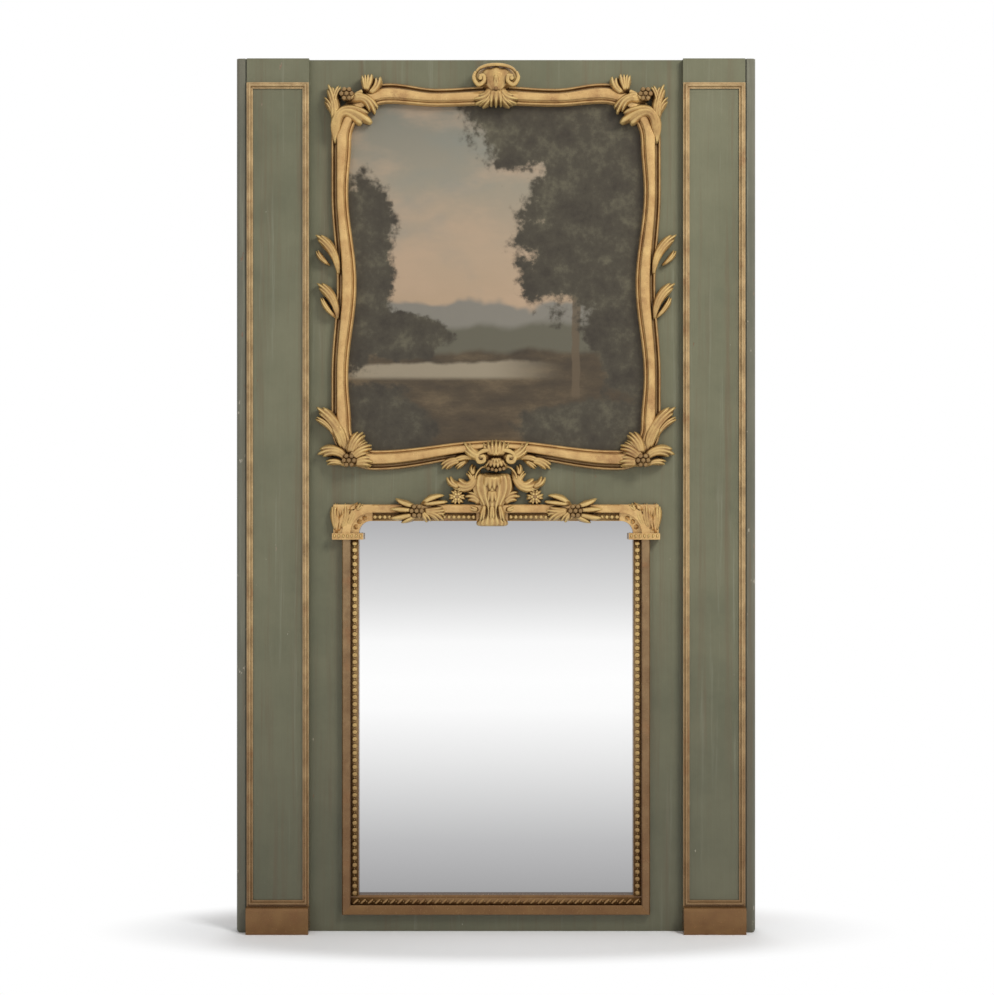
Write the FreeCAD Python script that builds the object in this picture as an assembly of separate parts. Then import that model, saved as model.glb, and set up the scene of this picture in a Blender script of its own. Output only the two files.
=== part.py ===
"""Trumeau mirror: a painted and gilt wall panel that holds a picture above a mirror plate.

Millimetres. +X is the viewer's right, +Y points into the wall and +Z up. The origin is on the floor
plane, in the middle of the width and of the carcass boards' thickness. Heights called "rise" are
measured from the carcass front towards the viewer.
"""
import FreeCAD, Part
import math
import os

V = FreeCAD.Vector

# Carcass boards
HEIGHT = 1800.0
BOARD = 30.0
OPENING_WIDTH = 614.0
STILE_WIDTH = 206.0
TOP_RAIL_HEIGHT = 70.0
MIDDLE_RAIL_HEIGHT = 116.0
BOTTOM_RAIL_HEIGHT = 54.0
MIRROR_OPENING_HEIGHT = 812.0
TENON_LENGTH = 45.0
TENON_THICKNESS = 10.0
TENON_SHOULDER = 12.0
MORTISE_END_GAP = 2.0

# Moulding along each outer edge
EDGE_WIDTH = 22.0
EDGE_RISE = 12.0
EDGE_ROUND = 9.0
EDGE_STEP = 3.0

# Battens across the back
BATTEN_HEIGHT = 54.0
BATTEN_THICKNESS = 18.0
BATTEN_END_GAP = 20.0
NAIL_SHANK = 3.0
NAIL_HEAD = 8.0
NAIL_HEAD_THICKNESS = 1.5
NAIL_LENGTH = 36.0

# Pilasters and their blocks
PILASTER_MARGIN = 78.0
PILASTER_THICKNESS = 14.0
BLOCK_HEIGHT = 55.0
BLOCK_THICKNESS = 32.0
BLOCK_ROUND = 8.0
PANEL_MOULDING_TOP_GAP = 50.0
PANEL_MOULDING_WIDTH = 13.0
PANEL_MOULDING_RISE = 7.0

# Serpentine frame round the picture
PICTURE_SEAT_SIDE = 33.0
PICTURE_SEAT_TOP = 20.0
PICTURE_SEAT_BOTTOM = 30.0
SERPENTINE_WIDTH = 41.0
TOP_CORNER = 120.0
BOTTOM_CORNER = 90.0
SERPENTINE_RISE = 26.0
LOBE_NARROWING = 6.0
SIDE_SWAY = 11.0
TOP_DIP = 11.0
TOP_SWELLING = -5.0
TOP_RETURN = 0.5
BOTTOM_ARCH = 17.0
BOTTOM_SWELLING = 5.0
BOTTOM_RETURN = 0.0
BEAD_WIDTH = 6.0
BEAD_RISE = 12.0
GROOVE_RISE = 6.0
LIP_WIDTH = 7.0
LIP_RISE = 16.0

# Picture on its stretcher
CANVAS_THICKNESS = 1.0
CANVAS_TURN = 16.0
CANVAS_FRONT_GAP = 0.3
PICTURE_GAP = 1.5
STRETCHER_WIDTH = 50.0
STRETCHER_THICKNESS = 20.0
STRETCHER_TENON = 36.0
STRETCHER_TENON_THICKNESS = 7.0
KEY_WIDTH = 7.0
KEY_OUT = 9.0
KEY_GAP = 0.3
TACK_PITCH = 150.0
TACK_HEAD = 7.0
TACK_HEAD_THICKNESS = 0.8
TACK_SHANK = 1.6
TACK_LENGTH = 9.0

# Mirror plate, its frame and what holds it
MIRROR_SEAT_SIDE = 10.0
MIRROR_SEAT_TOP = 15.5
MIRROR_SEAT_BOTTOM = 17.5
MIRROR_BAND = 17.0
MIRROR_BAND_RISE = 15.0
MIRROR_BED = 17.0
MIRROR_BED_RISE = 7.0
MIRROR_BOTTOM_EXTRA = 5.5
REBATE_DEPTH = 6.0
REBATE_GAP = 0.3
GLASS_THICKNESS = 5.0
GLASS_GAP = 2.0
BACKING_THICKNESS = 8.0
BACKING_BOARDS = 3
BACKING_JOINT = 1.0
RETAINER_LENGTH = 60.0
RETAINER_WIDTH = 12.0

# Pearls and the ribbon strip
PEARL_RADIUS = 6.2
PEARL_PITCH = 14.4
STRIP_WIDTH = 15.0
STRIP_THICKNESS = 2.0
STRIP_END_GAP = 0.5
RIBBON_PITCH = 15.2
RIBBON_RISE = 4.0

# Vase over the mirror frame, set a little to the left as on the original
VASE_X = -8.0
VASE_FOOT = 33.0

# Corner blocks of the mirror frame
CORNER_SIGHT_RADIUS = 25.0
CORNER_COLLAR_HEIGHT = 13.0
CORNER_PLATE_RISE = 12.0
CORNER_OUT = 18.0
COLLAR_RISE = 21.0
COLLAR_OVERHANG = 10.0
CORNER_ARM = 28.0
QUARTER_FACETS = 7

# Hangers on the back
HANGER_X = 410.0
HANGER_FROM_TOP = 160.0
STRAP_WIDTH = 16.0
STRAP_LENGTH = 66.0
STRAP_THICKNESS = 1.6
RING_WIRE = 2.0
RING_HALF_WIDTH = 12.0
RING_DROP = 20.0
BOW_FACETS = 10
ROLL_SIDES = 10
KNUCKLE_GAP = 0.3
HANGER_NAIL_LENGTH = 18.0
NAIL_DROPS = (34.0, 54.0)

# Places that follow from the sizes above
FRONT = -BOARD / 2
BACK = BOARD / 2
OPEN_X = OPENING_WIDTH / 2
STILE_X = OPEN_X + STILE_WIDTH
HALF_WIDTH = STILE_X + EDGE_WIDTH
PILASTER_WIDTH = STILE_WIDTH - PILASTER_MARGIN
HANGER_Z = HEIGHT - HANGER_FROM_TOP
MIRROR_TOP = BOTTOM_RAIL_HEIGHT + MIRROR_OPENING_HEIGHT
PICTURE_BOTTOM = MIRROR_TOP + MIDDLE_RAIL_HEIGHT
PICTURE_TOP = HEIGHT - TOP_RAIL_HEIGHT
FRAME_X = OPEN_X + PICTURE_SEAT_SIDE
FRAME_TOP = PICTURE_TOP + PICTURE_SEAT_TOP
FRAME_BOTTOM = PICTURE_BOTTOM - PICTURE_SEAT_BOTTOM
MIRROR_X = OPEN_X + MIRROR_SEAT_SIDE
MIRROR_FRAME_TOP = MIRROR_TOP + MIRROR_SEAT_TOP
MIRROR_FRAME_BOTTOM = BOTTOM_RAIL_HEIGHT - MIRROR_SEAT_BOTTOM
MIRROR_WIDTH = MIRROR_BAND + MIRROR_BED
SIGHT_X = MIRROR_X - MIRROR_WIDTH
SIGHT_TOP = MIRROR_FRAME_TOP - MIRROR_WIDTH
SIGHT_BOTTOM = MIRROR_FRAME_BOTTOM + MIRROR_WIDTH + MIRROR_BOTTOM_EXTRA
CORNER_X = SIGHT_X - CORNER_ARM
COLLAR_BOTTOM = SIGHT_TOP - CORNER_SIGHT_RADIUS - CORNER_COLLAR_HEIGHT


# ---------------------------------------------------------------- basic shapes

def box(x, y, z):
    """A box between the limits given as pairs."""
    low = V(min(x), min(y), min(z))
    high = V(max(x), max(y), max(z))
    size = high - low
    return Part.makeBox(size.x, size.y, size.z, low)


def at_rise(rise):
    """Maps a point of the front elevation to space, so far in front of the carcass."""
    return lambda x, z: V(x, FRONT - rise, z)


def outline(place, points):
    """A closed wire. A step of two numbers is a straight line, one of four an arc by way of its first two."""
    edges = []
    here = points[0]
    for step in points[1:] + points[:1]:
        end = step[-2:]
        if len(step) == 4:
            edges.append(Part.Arc(place(*here), place(*step[:2]), place(*end)).toShape())
        else:
            edges.append(Part.LineSegment(place(*here), place(*end)).toShape())
        here = end
    return Part.Wire(edges)


def relief(points, low, high):
    """The outline of the front elevation, standing from one rise to another."""
    return Part.Face(outline(at_rise(low), points)).extrude(V(0, low - high, 0))


def mirrored(shape):
    return shape.mirror(V(0, 0, 0), V(1, 0, 0))


def moved(shape, x, z):
    copy = shape.copy()
    copy.translate(V(x, 0, z))
    return copy


def joined(shapes):
    """The shapes as one solid, carved from one piece of wood."""
    return shapes[0].multiFuse(shapes[1:]).removeSplitter()


def group(shapes):
    return Part.makeCompound(shapes)


def moulding(profile, start, end, inward, rest=0.0, mitres=(0.0, 0.0)):
    """A straight moulding whose outer edge runs from start to end.

    Its profile is given as distance from that edge and rise. Each mitre is how much shorter its inner
    edge is at that end.
    """
    start = V(start[0], 0, start[1])
    end = V(end[0], 0, end[1])
    inward = V(inward[0], 0, inward[1])
    along = (end - start).normalize()

    def place(across, rise):
        return start + inward * across + V(0, FRONT - rest - rise, 0)

    bar = Part.Face(outline(place, profile)).extrude(end - start)
    width = max(step[-2] for step in profile)
    corners = [
        start,
        end,
        end + inward * width - along * mitres[1],
        start + inward * width + along * mitres[0],
    ]
    plan = [(corner.x, corner.z) for corner in corners]
    reach = BOARD + BLOCK_THICKNESS
    return bar.common(relief(plan, -reach, reach))


# ---------------------------------------------------------------- carving

STRAIGHT_BLADE = ((0.0, 0.4), (0.5, 1.0))
BENT_BLADE = ((0.0, 0.4), (0.35, 0.95), (0.72, 0.8))
LEAST_BEND = 5.5
CREST_SHARE = 0.45
CREST_SLOPE = 7.0


def carved(points, rise):
    """A carved form over a flat outline: upright sides, then slopes to a smaller crest."""
    shoulder = rise - min(CREST_SLOPE, rise / 2)
    return stacked(points, ((1.0, 0.0), (1.0, shoulder), (CREST_SHARE, rise)))


def stacked(points, levels):
    """A solid through scaled copies of a flat outline, each given by its scale and its rise."""
    middle = [sum(values) / len(points) for values in zip(*points)]
    rings = []
    for scale, height in levels:
        plan = [[m + (v - m) * scale for v, m in zip(point, middle)] for point in points]
        rings.append([at_rise(height)(*point) for point in plan])
    return skinned(rings, square=True)


def skinned(rings, square=False):
    """A solid with flat facets through rings of points. Where its four-cornered facets aren't flat they are halved."""
    faces = [flat_face(rings[0]), flat_face(rings[-1])]
    for lower, upper in zip(rings, rings[1:]):
        for i in range(len(lower)):
            if square:
                faces.append(flat_face([lower[i - 1], lower[i], upper[i], upper[i - 1]]))
            else:
                faces.append(flat_face([lower[i - 1], lower[i], upper[i]]))
                faces.append(flat_face([lower[i - 1], upper[i], upper[i - 1]]))
    solid = Part.Solid(Part.Shell(faces))
    solid.fix(0.001, 0.001, 0.001)
    return solid


def flat_face(corners):
    return Part.Face(Part.makePolygon(corners + corners[:1]))


def leaf(base, tip, width, bend, rise):
    """A carved leaf, with its middle line bowed to the left of the way from base to tip."""
    length = math.dist(base, tip)
    along = ((tip[0] - base[0]) / length, (tip[1] - base[1]) / length)
    near = []
    far = []
    for share, swell in BENT_BLADE if abs(bend) > LEAST_BEND else STRAIGHT_BLADE:
        bow = bend * 4 * share * (1 - share)
        for side, aside in ((near, bow + width * swell / 2), (far, bow - width * swell / 2)):
            x = base[0] + along[0] * length * share - along[1] * aside
            z = base[1] + along[1] * length * share + along[0] * aside
            side.append((x, z))
    return carved(near + [tip] + far[::-1], rise)


def fan(centre, reach, first, last, count, width, rise):
    """Leaves spread evenly about a centre, between two angles from straight up."""
    leaves = []
    for i in range(count):
        angle = math.radians(first + (last - first) * i / (count - 1))
        tip = (centre[0] + reach * math.sin(angle), centre[1] + reach * math.cos(angle))
        leaves.append(leaf(centre, tip, width, 0, rise))
    return leaves


def ring_points(x, z, radius, count):
    """Points evenly round a centre."""
    angles = [math.tau * (i + 0.5) / count for i in range(count)]
    return [(x + radius * math.cos(angle), z + radius * math.sin(angle)) for angle in angles]


def berry(x, z, radius, rise):
    """A round knob that reaches down to the carcass."""
    return stacked(ring_points(x, z, radius, 6), ((1.0, 0.0), (1.0, rise - radius), (0.5, rise)))


def seated(carving, *carriers):
    """The carving with its back cut to the mouldings that it lies on."""
    fitted = carving
    for carrier in carriers:
        fitted = fitted.cut(carrier)
    return max(fitted.Solids, key=lambda solid: solid.Volume)


# ---------------------------------------------------------------- carcass

def tenon_height(rail_height):
    return rail_height - 2 * TENON_SHOULDER


def rail_levels():
    """The bottom and height of each rail, from the lowest up."""
    return (
        (0.0, BOTTOM_RAIL_HEIGHT),
        (MIRROR_TOP, MIDDLE_RAIL_HEIGHT),
        (PICTURE_TOP, TOP_RAIL_HEIGHT),
    )


def rail(bottom, height):
    """A rail between the stiles, with a tenon at each end."""
    half = TENON_THICKNESS / 2
    reach = OPEN_X + TENON_LENGTH
    board = box((-OPEN_X, OPEN_X), (FRONT, BACK), (bottom, bottom + height))
    tenon_z = (bottom + TENON_SHOULDER, bottom + height - TENON_SHOULDER)
    return joined([board, box((-reach, reach), (-half, half), tenon_z)])


def right_stile():
    stile = box((OPEN_X, STILE_X), (FRONT, BACK), (0, HEIGHT))
    half = TENON_THICKNESS / 2
    depth = TENON_LENGTH + MORTISE_END_GAP
    for bottom, height in rail_levels():
        low = bottom + TENON_SHOULDER
        mortise = box((OPEN_X, OPEN_X + depth), (-half, half), (low, low + tenon_height(height)))
        stile = stile.cut(mortise)
    return stile


def right_edge_moulding():
    """Covers the stile's outer edge: rounded in front, stepped beside the pilaster."""
    front = FRONT - EDGE_RISE
    turn = EDGE_ROUND * (1 - math.sqrt(0.5))
    section = [
        (STILE_X, BACK),
        (HALF_WIDTH, BACK),
        (HALF_WIDTH, front + EDGE_ROUND),
        (HALF_WIDTH - turn, front + turn, HALF_WIDTH - EDGE_ROUND, front),
        (STILE_X + EDGE_STEP, front),
        (STILE_X + EDGE_STEP, front + EDGE_STEP),
        (STILE_X, front + EDGE_STEP),
    ]
    strip = Part.Face(outline(lambda x, y: V(x, y, 0), section)).extrude(V(0, 0, HEIGHT))
    elevation = [
        (STILE_X, 0),
        (HALF_WIDTH - EDGE_ROUND, 0),
        (HALF_WIDTH - turn, turn, HALF_WIDTH, EDGE_ROUND),
        (HALF_WIDTH, HEIGHT),
        (STILE_X, HEIGHT),
    ]
    return strip.common(relief(elevation, -BOARD, EDGE_RISE))


def batten_bottoms():
    """The battens' lower edges: flush with the foot, and centred on the two upper rails."""
    middle = MIRROR_TOP + (MIDDLE_RAIL_HEIGHT - BATTEN_HEIGHT) / 2
    top = PICTURE_TOP + (TOP_RAIL_HEIGHT - BATTEN_HEIGHT) / 2
    return (0.0, middle, top)


def batten_nails():
    """Four cut nails in each batten, driven from behind into the stiles."""
    inner = OPEN_X + STILE_WIDTH * 0.4
    outer = STILE_X - BATTEN_END_GAP * 2
    nails = []
    for bottom in batten_bottoms():
        z = bottom + BATTEN_HEIGHT / 2
        for x in (-outer, -inner, inner, outer):
            nails.append(nail(V(x, BACK + BATTEN_THICKNESS - NAIL_HEAD_THICKNESS, z), NAIL_LENGTH))
    return nails


def square_bar(start, way, side, length):
    """A square bar that runs straight from a point."""
    end = start + way * length
    spread = V(side / 2, side / 2, side / 2) - V(abs(way.x), abs(way.y), abs(way.z)) * (side / 2)
    limits = []
    for i in range(3):
        limits.append((min(start[i], end[i]) - spread[i], max(start[i], end[i]) + spread[i]))
    return box(*limits)


def nail(place, length):
    """A square nail driven in from behind, with its head outside the given place."""
    shank = square_bar(place, V(0, -1, 0), NAIL_SHANK, length)
    head = square_bar(place, V(0, 1, 0), NAIL_HEAD, NAIL_HEAD_THICKNESS)
    return shank.fuse(head)


# ---------------------------------------------------------------- pilasters

def right_pilaster():
    x = (STILE_X - PILASTER_WIDTH, STILE_X)
    return box(x, (FRONT, FRONT - PILASTER_THICKNESS), (BLOCK_HEIGHT, HEIGHT))


def right_block():
    """The block under the pilaster, with a rounded upper front edge."""
    front = FRONT - BLOCK_THICKNESS
    turn = BLOCK_ROUND * (1 - math.sqrt(0.5))
    section = [
        (FRONT, 0),
        (front, 0),
        (front, BLOCK_HEIGHT - BLOCK_ROUND),
        (front + turn, BLOCK_HEIGHT - turn, front + BLOCK_ROUND, BLOCK_HEIGHT),
        (FRONT, BLOCK_HEIGHT),
    ]
    start = STILE_X - PILASTER_WIDTH
    face = Part.Face(outline(lambda y, z: V(start, y, z), section))
    return face.extrude(V(PILASTER_WIDTH, 0, 0))


def panel_profile():
    """A raised ridge between two fillets."""
    width = PANEL_MOULDING_WIDTH
    step = width / 5
    low = PANEL_MOULDING_RISE * 0.4
    return [
        (0, 0),
        (0, low),
        (step, low),
        (step * 1.8, PANEL_MOULDING_RISE),
        (step * 3.2, PANEL_MOULDING_RISE),
        (step * 4, low),
        (width, low),
        (width, 0),
    ]


def right_panel_mouldings():
    """The four mitred strips planted round the pilaster's field."""
    left = STILE_X - PILASTER_WIDTH
    right = STILE_X
    low = BLOCK_HEIGHT
    high = HEIGHT - PANEL_MOULDING_TOP_GAP
    mitres = (PANEL_MOULDING_WIDTH, PANEL_MOULDING_WIDTH)
    rest = PILASTER_THICKNESS
    profile = panel_profile()
    return [
        moulding(profile, (left, low), (left, high), (1, 0), rest, mitres),
        moulding(profile, (right, low), (right, high), (-1, 0), rest, mitres),
        moulding(profile, (left, high), (right, high), (0, -1), rest, mitres),
        moulding(profile, (left, low), (right, low), (0, 1), rest, mitres),
    ]


# ---------------------------------------------------------------- serpentine frame

def serpentine_profile(width):
    """The frame's profile from its outer edge: bead, groove, swelling band and lip."""
    groove = 2 * BEAD_WIDTH
    lip = width - LIP_WIDTH
    band = lip - groove
    return [
        (0, 0),
        (0, BEAD_RISE * 0.7),
        (BEAD_WIDTH / 2, BEAD_RISE),
        (BEAD_WIDTH, BEAD_RISE * 0.7),
        (BEAD_WIDTH * 1.2, GROOVE_RISE),
        (groove, GROOVE_RISE),
        (groove, SERPENTINE_RISE * 0.6),
        (groove + band * 0.2, SERPENTINE_RISE * 0.9),
        (groove + band * 0.45, SERPENTINE_RISE),
        (groove + band * 0.75, SERPENTINE_RISE * 0.92),
        (lip, LIP_RISE),
        (lip, LIP_RISE * 0.8),
        (width - LIP_WIDTH / 2, LIP_RISE),
        (width, LIP_RISE * 0.8),
        (width, 0),
    ]


def seat_profile(width):
    """What the carving over the frame is cut to: it bridges the frame's hollows."""
    groove = 2 * BEAD_WIDTH
    lip = width - LIP_WIDTH
    band = lip - groove
    return [
        (0, 0),
        (0, BEAD_RISE),
        (groove, BEAD_RISE),
        (groove, SERPENTINE_RISE * 0.95),
        (groove + band * 0.45, SERPENTINE_RISE),
        (groove + band * 0.75, SERPENTINE_RISE * 0.92),
        (lip, LIP_RISE),
        (width, LIP_RISE),
        (width, 0),
    ]


def serpentine_member(stations, profile):
    """A member of the frame through its stations, each an outer and a sight point."""
    rings = []
    for outer, inner in stations:
        width = math.dist(outer, inner)
        across = ((inner[0] - outer[0]) / width, (inner[1] - outer[1]) / width)
        ring = []
        for distance, rise in profile(width):
            ring.append(V(outer[0] + across[0] * distance, FRONT - rise, outer[1] + across[1] * distance))
        rings.append(ring)
    return skinned(rings)


def corner_stations(centre, radius, first, last):
    """Stations round a corner, as pairs of outer and sight points, by angle from +X."""
    stations = []
    for angle in (first, (first + last) / 2, last):
        way = (math.cos(math.radians(angle)), math.sin(math.radians(angle)))
        radii = (radius, radius - SERPENTINE_WIDTH)
        stations.append([(centre[0] + r * way[0], centre[1] + r * way[1]) for r in radii])
    return stations


def ease(share):
    """A smooth step from 0 to 1."""
    return (1 - math.cos(math.pi * share)) / 2


def side_edges(share):
    """The upright's outer and sight edge, by the share of the way from a corner to its middle.

    It narrows to a lobe, then sways in to the belly and widens again.
    """
    lobe = 0.35
    if share < lobe:
        sway = 0
        narrowing = ease(share / lobe)
    else:
        sway = ease((share - lobe) / (1 - lobe))
        narrowing = 1 - sway
    outer = FRAME_X - SIDE_SWAY * sway
    return outer, outer - SERPENTINE_WIDTH + LOBE_NARROWING * narrowing


def side_stations():
    """Stations down the right-hand upright, from mitre to mitre."""
    high = FRAME_TOP - TOP_CORNER
    low = FRAME_BOTTOM + BOTTOM_CORNER
    stations = corner_stations((FRAME_X - TOP_CORNER, high), TOP_CORNER, 45, 0)
    steps = 8
    for i in range(1, steps):
        share = i / steps
        z = high + (low - high) * share
        outer, inner = side_edges(1 - abs(1 - 2 * share))
        stations.append([(outer, z), (inner, z)])
    return stations + corner_stations((FRAME_X - BOTTOM_CORNER, low), BOTTOM_CORNER, 0, -45)


def cross_bow(share, back):
    """How far the top or bottom member has bowed by a share of the way to its middle, and gone back."""
    bend = 0.45
    if share < bend:
        return ease(share / bend)
    return 1 - back * ease((share - bend) / (1 - bend))


def cross_stations(level, way, corner, bow, swelling, back):
    """Stations along the top or bottom member, whose way out from the sight is 1 or -1.

    Its outer edge bows towards the sight by bow, and its sight edge further by the swelling.
    """
    centre_x = FRAME_X - corner
    centre_z = level - way * corner
    stations = corner_stations((-centre_x, centre_z), corner, way * 135, way * 90)
    steps = 8
    for i in range(1, steps):
        x = centre_x * (2 * i / steps - 1)
        share = cross_bow(1 - abs(x) / centre_x, back)
        outer = level - way * bow * share
        inner = level - way * (SERPENTINE_WIDTH + (bow + swelling) * share)
        stations.append([(x, outer), (x, inner)])
    return stations + corner_stations((centre_x, centre_z), corner, way * 90, way * 45)


# ---------------------------------------------------------------- carved ornament

def top_shell():
    """The shell over the top member, with a scroll at each side and a small palmette below."""
    half = [
        leaf((22, -6), (50, -12), 17, 6, 36),
        leaf((4, -14), (42, -40), 17, 4, 38),
        berry(38, 6, 11, 38),
        berry(28, 22, 11, 38),
    ]
    parts = fan((0, -12), 50, -36, 36, 5, 19, 38)
    parts += fan((0, -8), 42, 160, 200, 3, 16, 37)
    parts += half + [mirrored(piece) for piece in half]
    parts.append(berry(0, -8, 10, 42))
    return moved(joined(parts), 0, FRAME_TOP - TOP_DIP * TOP_RETURN)


def top_corner_spray():
    """Leaves and berries round the frame's upper right corner, drawn from that corner."""
    parts = [
        leaf((-60, -36), (-74, 18), 12, 5, 34),
        leaf((-62, -34), (-87, 17), 12, 6, 34),
        leaf((-62, -36), (-100, 13), 12, 7, 34),
        leaf((-30, -60), (-15, -8), 15, -5, 34),
        leaf((-28, -62), (12, -11), 12, -7, 34),
        leaf((-26, -66), (8, -34), 12, -4, 34),
        leaf((-8, -92), (-88, -84), 20, -34, 37),
        leaf((-46, -50), (-94, -62), 17, -7, 36),
        leaf((-22, -56), (-72, -22), 26, 0, 36),
    ]
    for x, z in ((-31, -28), (-40, -24), (-34, -37), (-43, -33), (-40, -42)):
        parts.append(berry(x, z, 6, 39))
    return moved(joined(parts), FRAME_X, FRAME_TOP)


def bottom_corner_spray():
    """Leaves and berries round the frame's lower right corner, drawn from that corner."""
    parts = [
        leaf((-24, 34), (31, 134), 17, -9, 30),
        leaf((-22, 36), (18, 106), 13, -5, 28),
        leaf((-38, 12), (25, 30), 14, 13, 30),
        leaf((-40, 10), (-96, -1), 16, 4, 34),
        leaf((-40, 18), (-80, 62), 20, 6, 37),
        leaf((-38, 22), (-82, 34), 17, 4, 36),
        leaf((-46, 34), (-14, 64), 20, 5, 36),
    ]
    for x, z in ((-34, 24), (-44, 26), (-39, 15), (-49, 16), (-43, 5)):
        parts.append(berry(x, z, 6, 39))
    return moved(joined(parts), FRAME_X, FRAME_BOTTOM)


def side_sprigs():
    """Two small leaf sprigs beside the middle of the frame's upright."""
    middle = (FRAME_TOP + FRAME_BOTTOM) / 2
    upper = joined([
        leaf((-18, 6), (33, 86), 17, 12, 24),
        leaf((-18, 8), (8, 66), 12, 6, 22),
    ])
    lower = joined([
        leaf((-16, -88), (29, -12), 17, 12, 24),
        leaf((-14, -86), (18, -36), 12, -3, 22),
    ])
    return [moved(upper, FRAME_X, middle), moved(lower, FRAME_X, middle)]


def lower_cartouche():
    """The palmette, scrolls and drooping leaves over the middle of the bottom member."""
    half = [
        leaf((10, 32), (64, 44), 14, -6, 36),
        leaf((4, 8), (32, 12), 15, 0, 36),
        berry(29, 12, 9, 39),
        leaf((22, 4), (76, -4), 9, 3, 20),
        leaf((62, -2), (112, -17), 14, 5, 18),
    ]
    parts = fan((0, 14), 36, -52, 52, 5, 14, 38)
    parts += fan((0, 12), 32, 150, 210, 3, 15, 36)
    parts += half + [mirrored(piece) for piece in half]
    parts.append(berry(0, 14, 10, 42))
    return moved(joined(parts), 0, FRAME_BOTTOM + BOTTOM_ARCH)


VASE = ((64, 43, 26), (44, 46, 31), (20, 38, 32), (-12, 25, 29), (-30, VASE_FOOT, 27), (-43, 28, 22))


def vase_crest():
    """The fluted vase over the middle of the mirror frame, under two layers of petals."""
    rings = []
    for z, half, rise in VASE:
        shoulder = (half * 0.72, rise * 0.78)
        points = [(-half, 0), (-shoulder[0], shoulder[1]), (0, rise), shoulder, (half, 0)]
        rings.append([V(x, FRONT - h, z) for x, h in points])
    parts = [skinned(rings)]
    for x in (-17, -6, 6, 17):
        parts.append(leaf((x, 63), (x * 0.85, 22), 12, 0, 37))
    for x in (-7, 7):
        parts.append(leaf((x, 26), (x * 0.8, -10), 13, 0, 34))
    parts.append(leaf((0, -6), (0, -44), 15, 0, 33))
    for way in (-1, 1):
        parts.append(leaf((way * 26, 6), (way * 62, 14), 15, way * 4, 20))
        parts.append(leaf((way * 42, 58), (way * 24, 71), 6, 0, 14))
    return moved(joined(parts), VASE_X, MIRROR_FRAME_TOP)


def right_scroll():
    """The leafy scroll to the right of the vase, from the vase's middle, with the flower under it."""
    flower = (88, 18)
    parts = [
        leaf((58, 66), (106, 50), 16, -17, 25),
        leaf((60, 40), (94, 32), 13, -6, 19),
        berry(flower[0], flower[1], 6, 20),
    ]
    parts += fan(flower, 17, -150, 150, 6, 11, 15)
    parts.append(leaf((90, 24), (92, 44), 12, 0, 17))
    return moved(joined(parts), 0, MIRROR_FRAME_TOP)


def right_garland():
    """Leaves and berries over the mirror frame's top, to the right of the vase."""
    parts = [
        leaf((160, -4), (208, 10), 14, -2, 26),
        leaf((164, -2), (118, 12), 14, -3, 26),
        leaf((164, -14), (217, -15), 13, 0, 25),
        leaf((162, -22), (220, -33), 13, -2, 24),
        leaf((158, -16), (100, -12), 24, 0, 24),
        leaf((154, -20), (112, -28), 14, 3, 22),
    ]
    for x, z in ((163, -8), (171, -17), (157, -20), (166, -28)):
        parts.append(berry(x, z, 6.5, 29))
    return moved(joined(parts), 0, MIRROR_FRAME_TOP)


# ---------------------------------------------------------------- mirror frame

def mirror_profile(seat, extra=0.0):
    """The band, the lower bed for the pearls, and the tongue that enters the opening."""
    corner = 2.0
    width = MIRROR_WIDTH + extra
    band = MIRROR_BAND + extra / 2
    tongue = seat + REBATE_GAP
    return [
        (0, 0),
        (0, MIRROR_BAND_RISE - corner),
        (corner, MIRROR_BAND_RISE),
        (band - corner, MIRROR_BAND_RISE),
        (band, MIRROR_BAND_RISE - corner),
        (band, MIRROR_BED_RISE),
        (width, MIRROR_BED_RISE),
        (width, -REBATE_DEPTH),
        (tongue, -REBATE_DEPTH),
        (tongue, 0),
    ]


def mirror_side():
    """The right-hand member, mitred at the foot and butted under the corner block."""
    profile = mirror_profile(MIRROR_SEAT_SIDE)
    start = (MIRROR_X, MIRROR_FRAME_BOTTOM)
    mitre = SIGHT_BOTTOM - MIRROR_FRAME_BOTTOM
    side = moulding(profile, start, (MIRROR_X, COLLAR_BOTTOM), (-1, 0), mitres=(mitre, 0))
    return side.cut(box((0, MIRROR_X), (FRONT, BACK), (0, BOTTOM_RAIL_HEIGHT + REBATE_GAP)))


def mirror_bottom():
    profile = mirror_profile(MIRROR_SEAT_BOTTOM, MIRROR_BOTTOM_EXTRA)
    start = (-MIRROR_X, MIRROR_FRAME_BOTTOM)
    end = (MIRROR_X, MIRROR_FRAME_BOTTOM)
    return moulding(profile, start, end, (0, 1), mitres=(MIRROR_WIDTH, MIRROR_WIDTH))


def mirror_top():
    """The top member, butted between the corner blocks."""
    profile = mirror_profile(MIRROR_SEAT_TOP)
    return moulding(profile, (-CORNER_X, MIRROR_FRAME_TOP), (CORNER_X, MIRROR_FRAME_TOP), (0, -1))


def quarter(centre, radius):
    """Points round a quarter turn, from straight up to the right."""
    angles = [math.radians(90 * i / QUARTER_FACETS) for i in range(QUARTER_FACETS + 1)]
    return [(centre[0] + radius * math.sin(a), centre[1] + radius * math.cos(a)) for a in angles]


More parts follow.
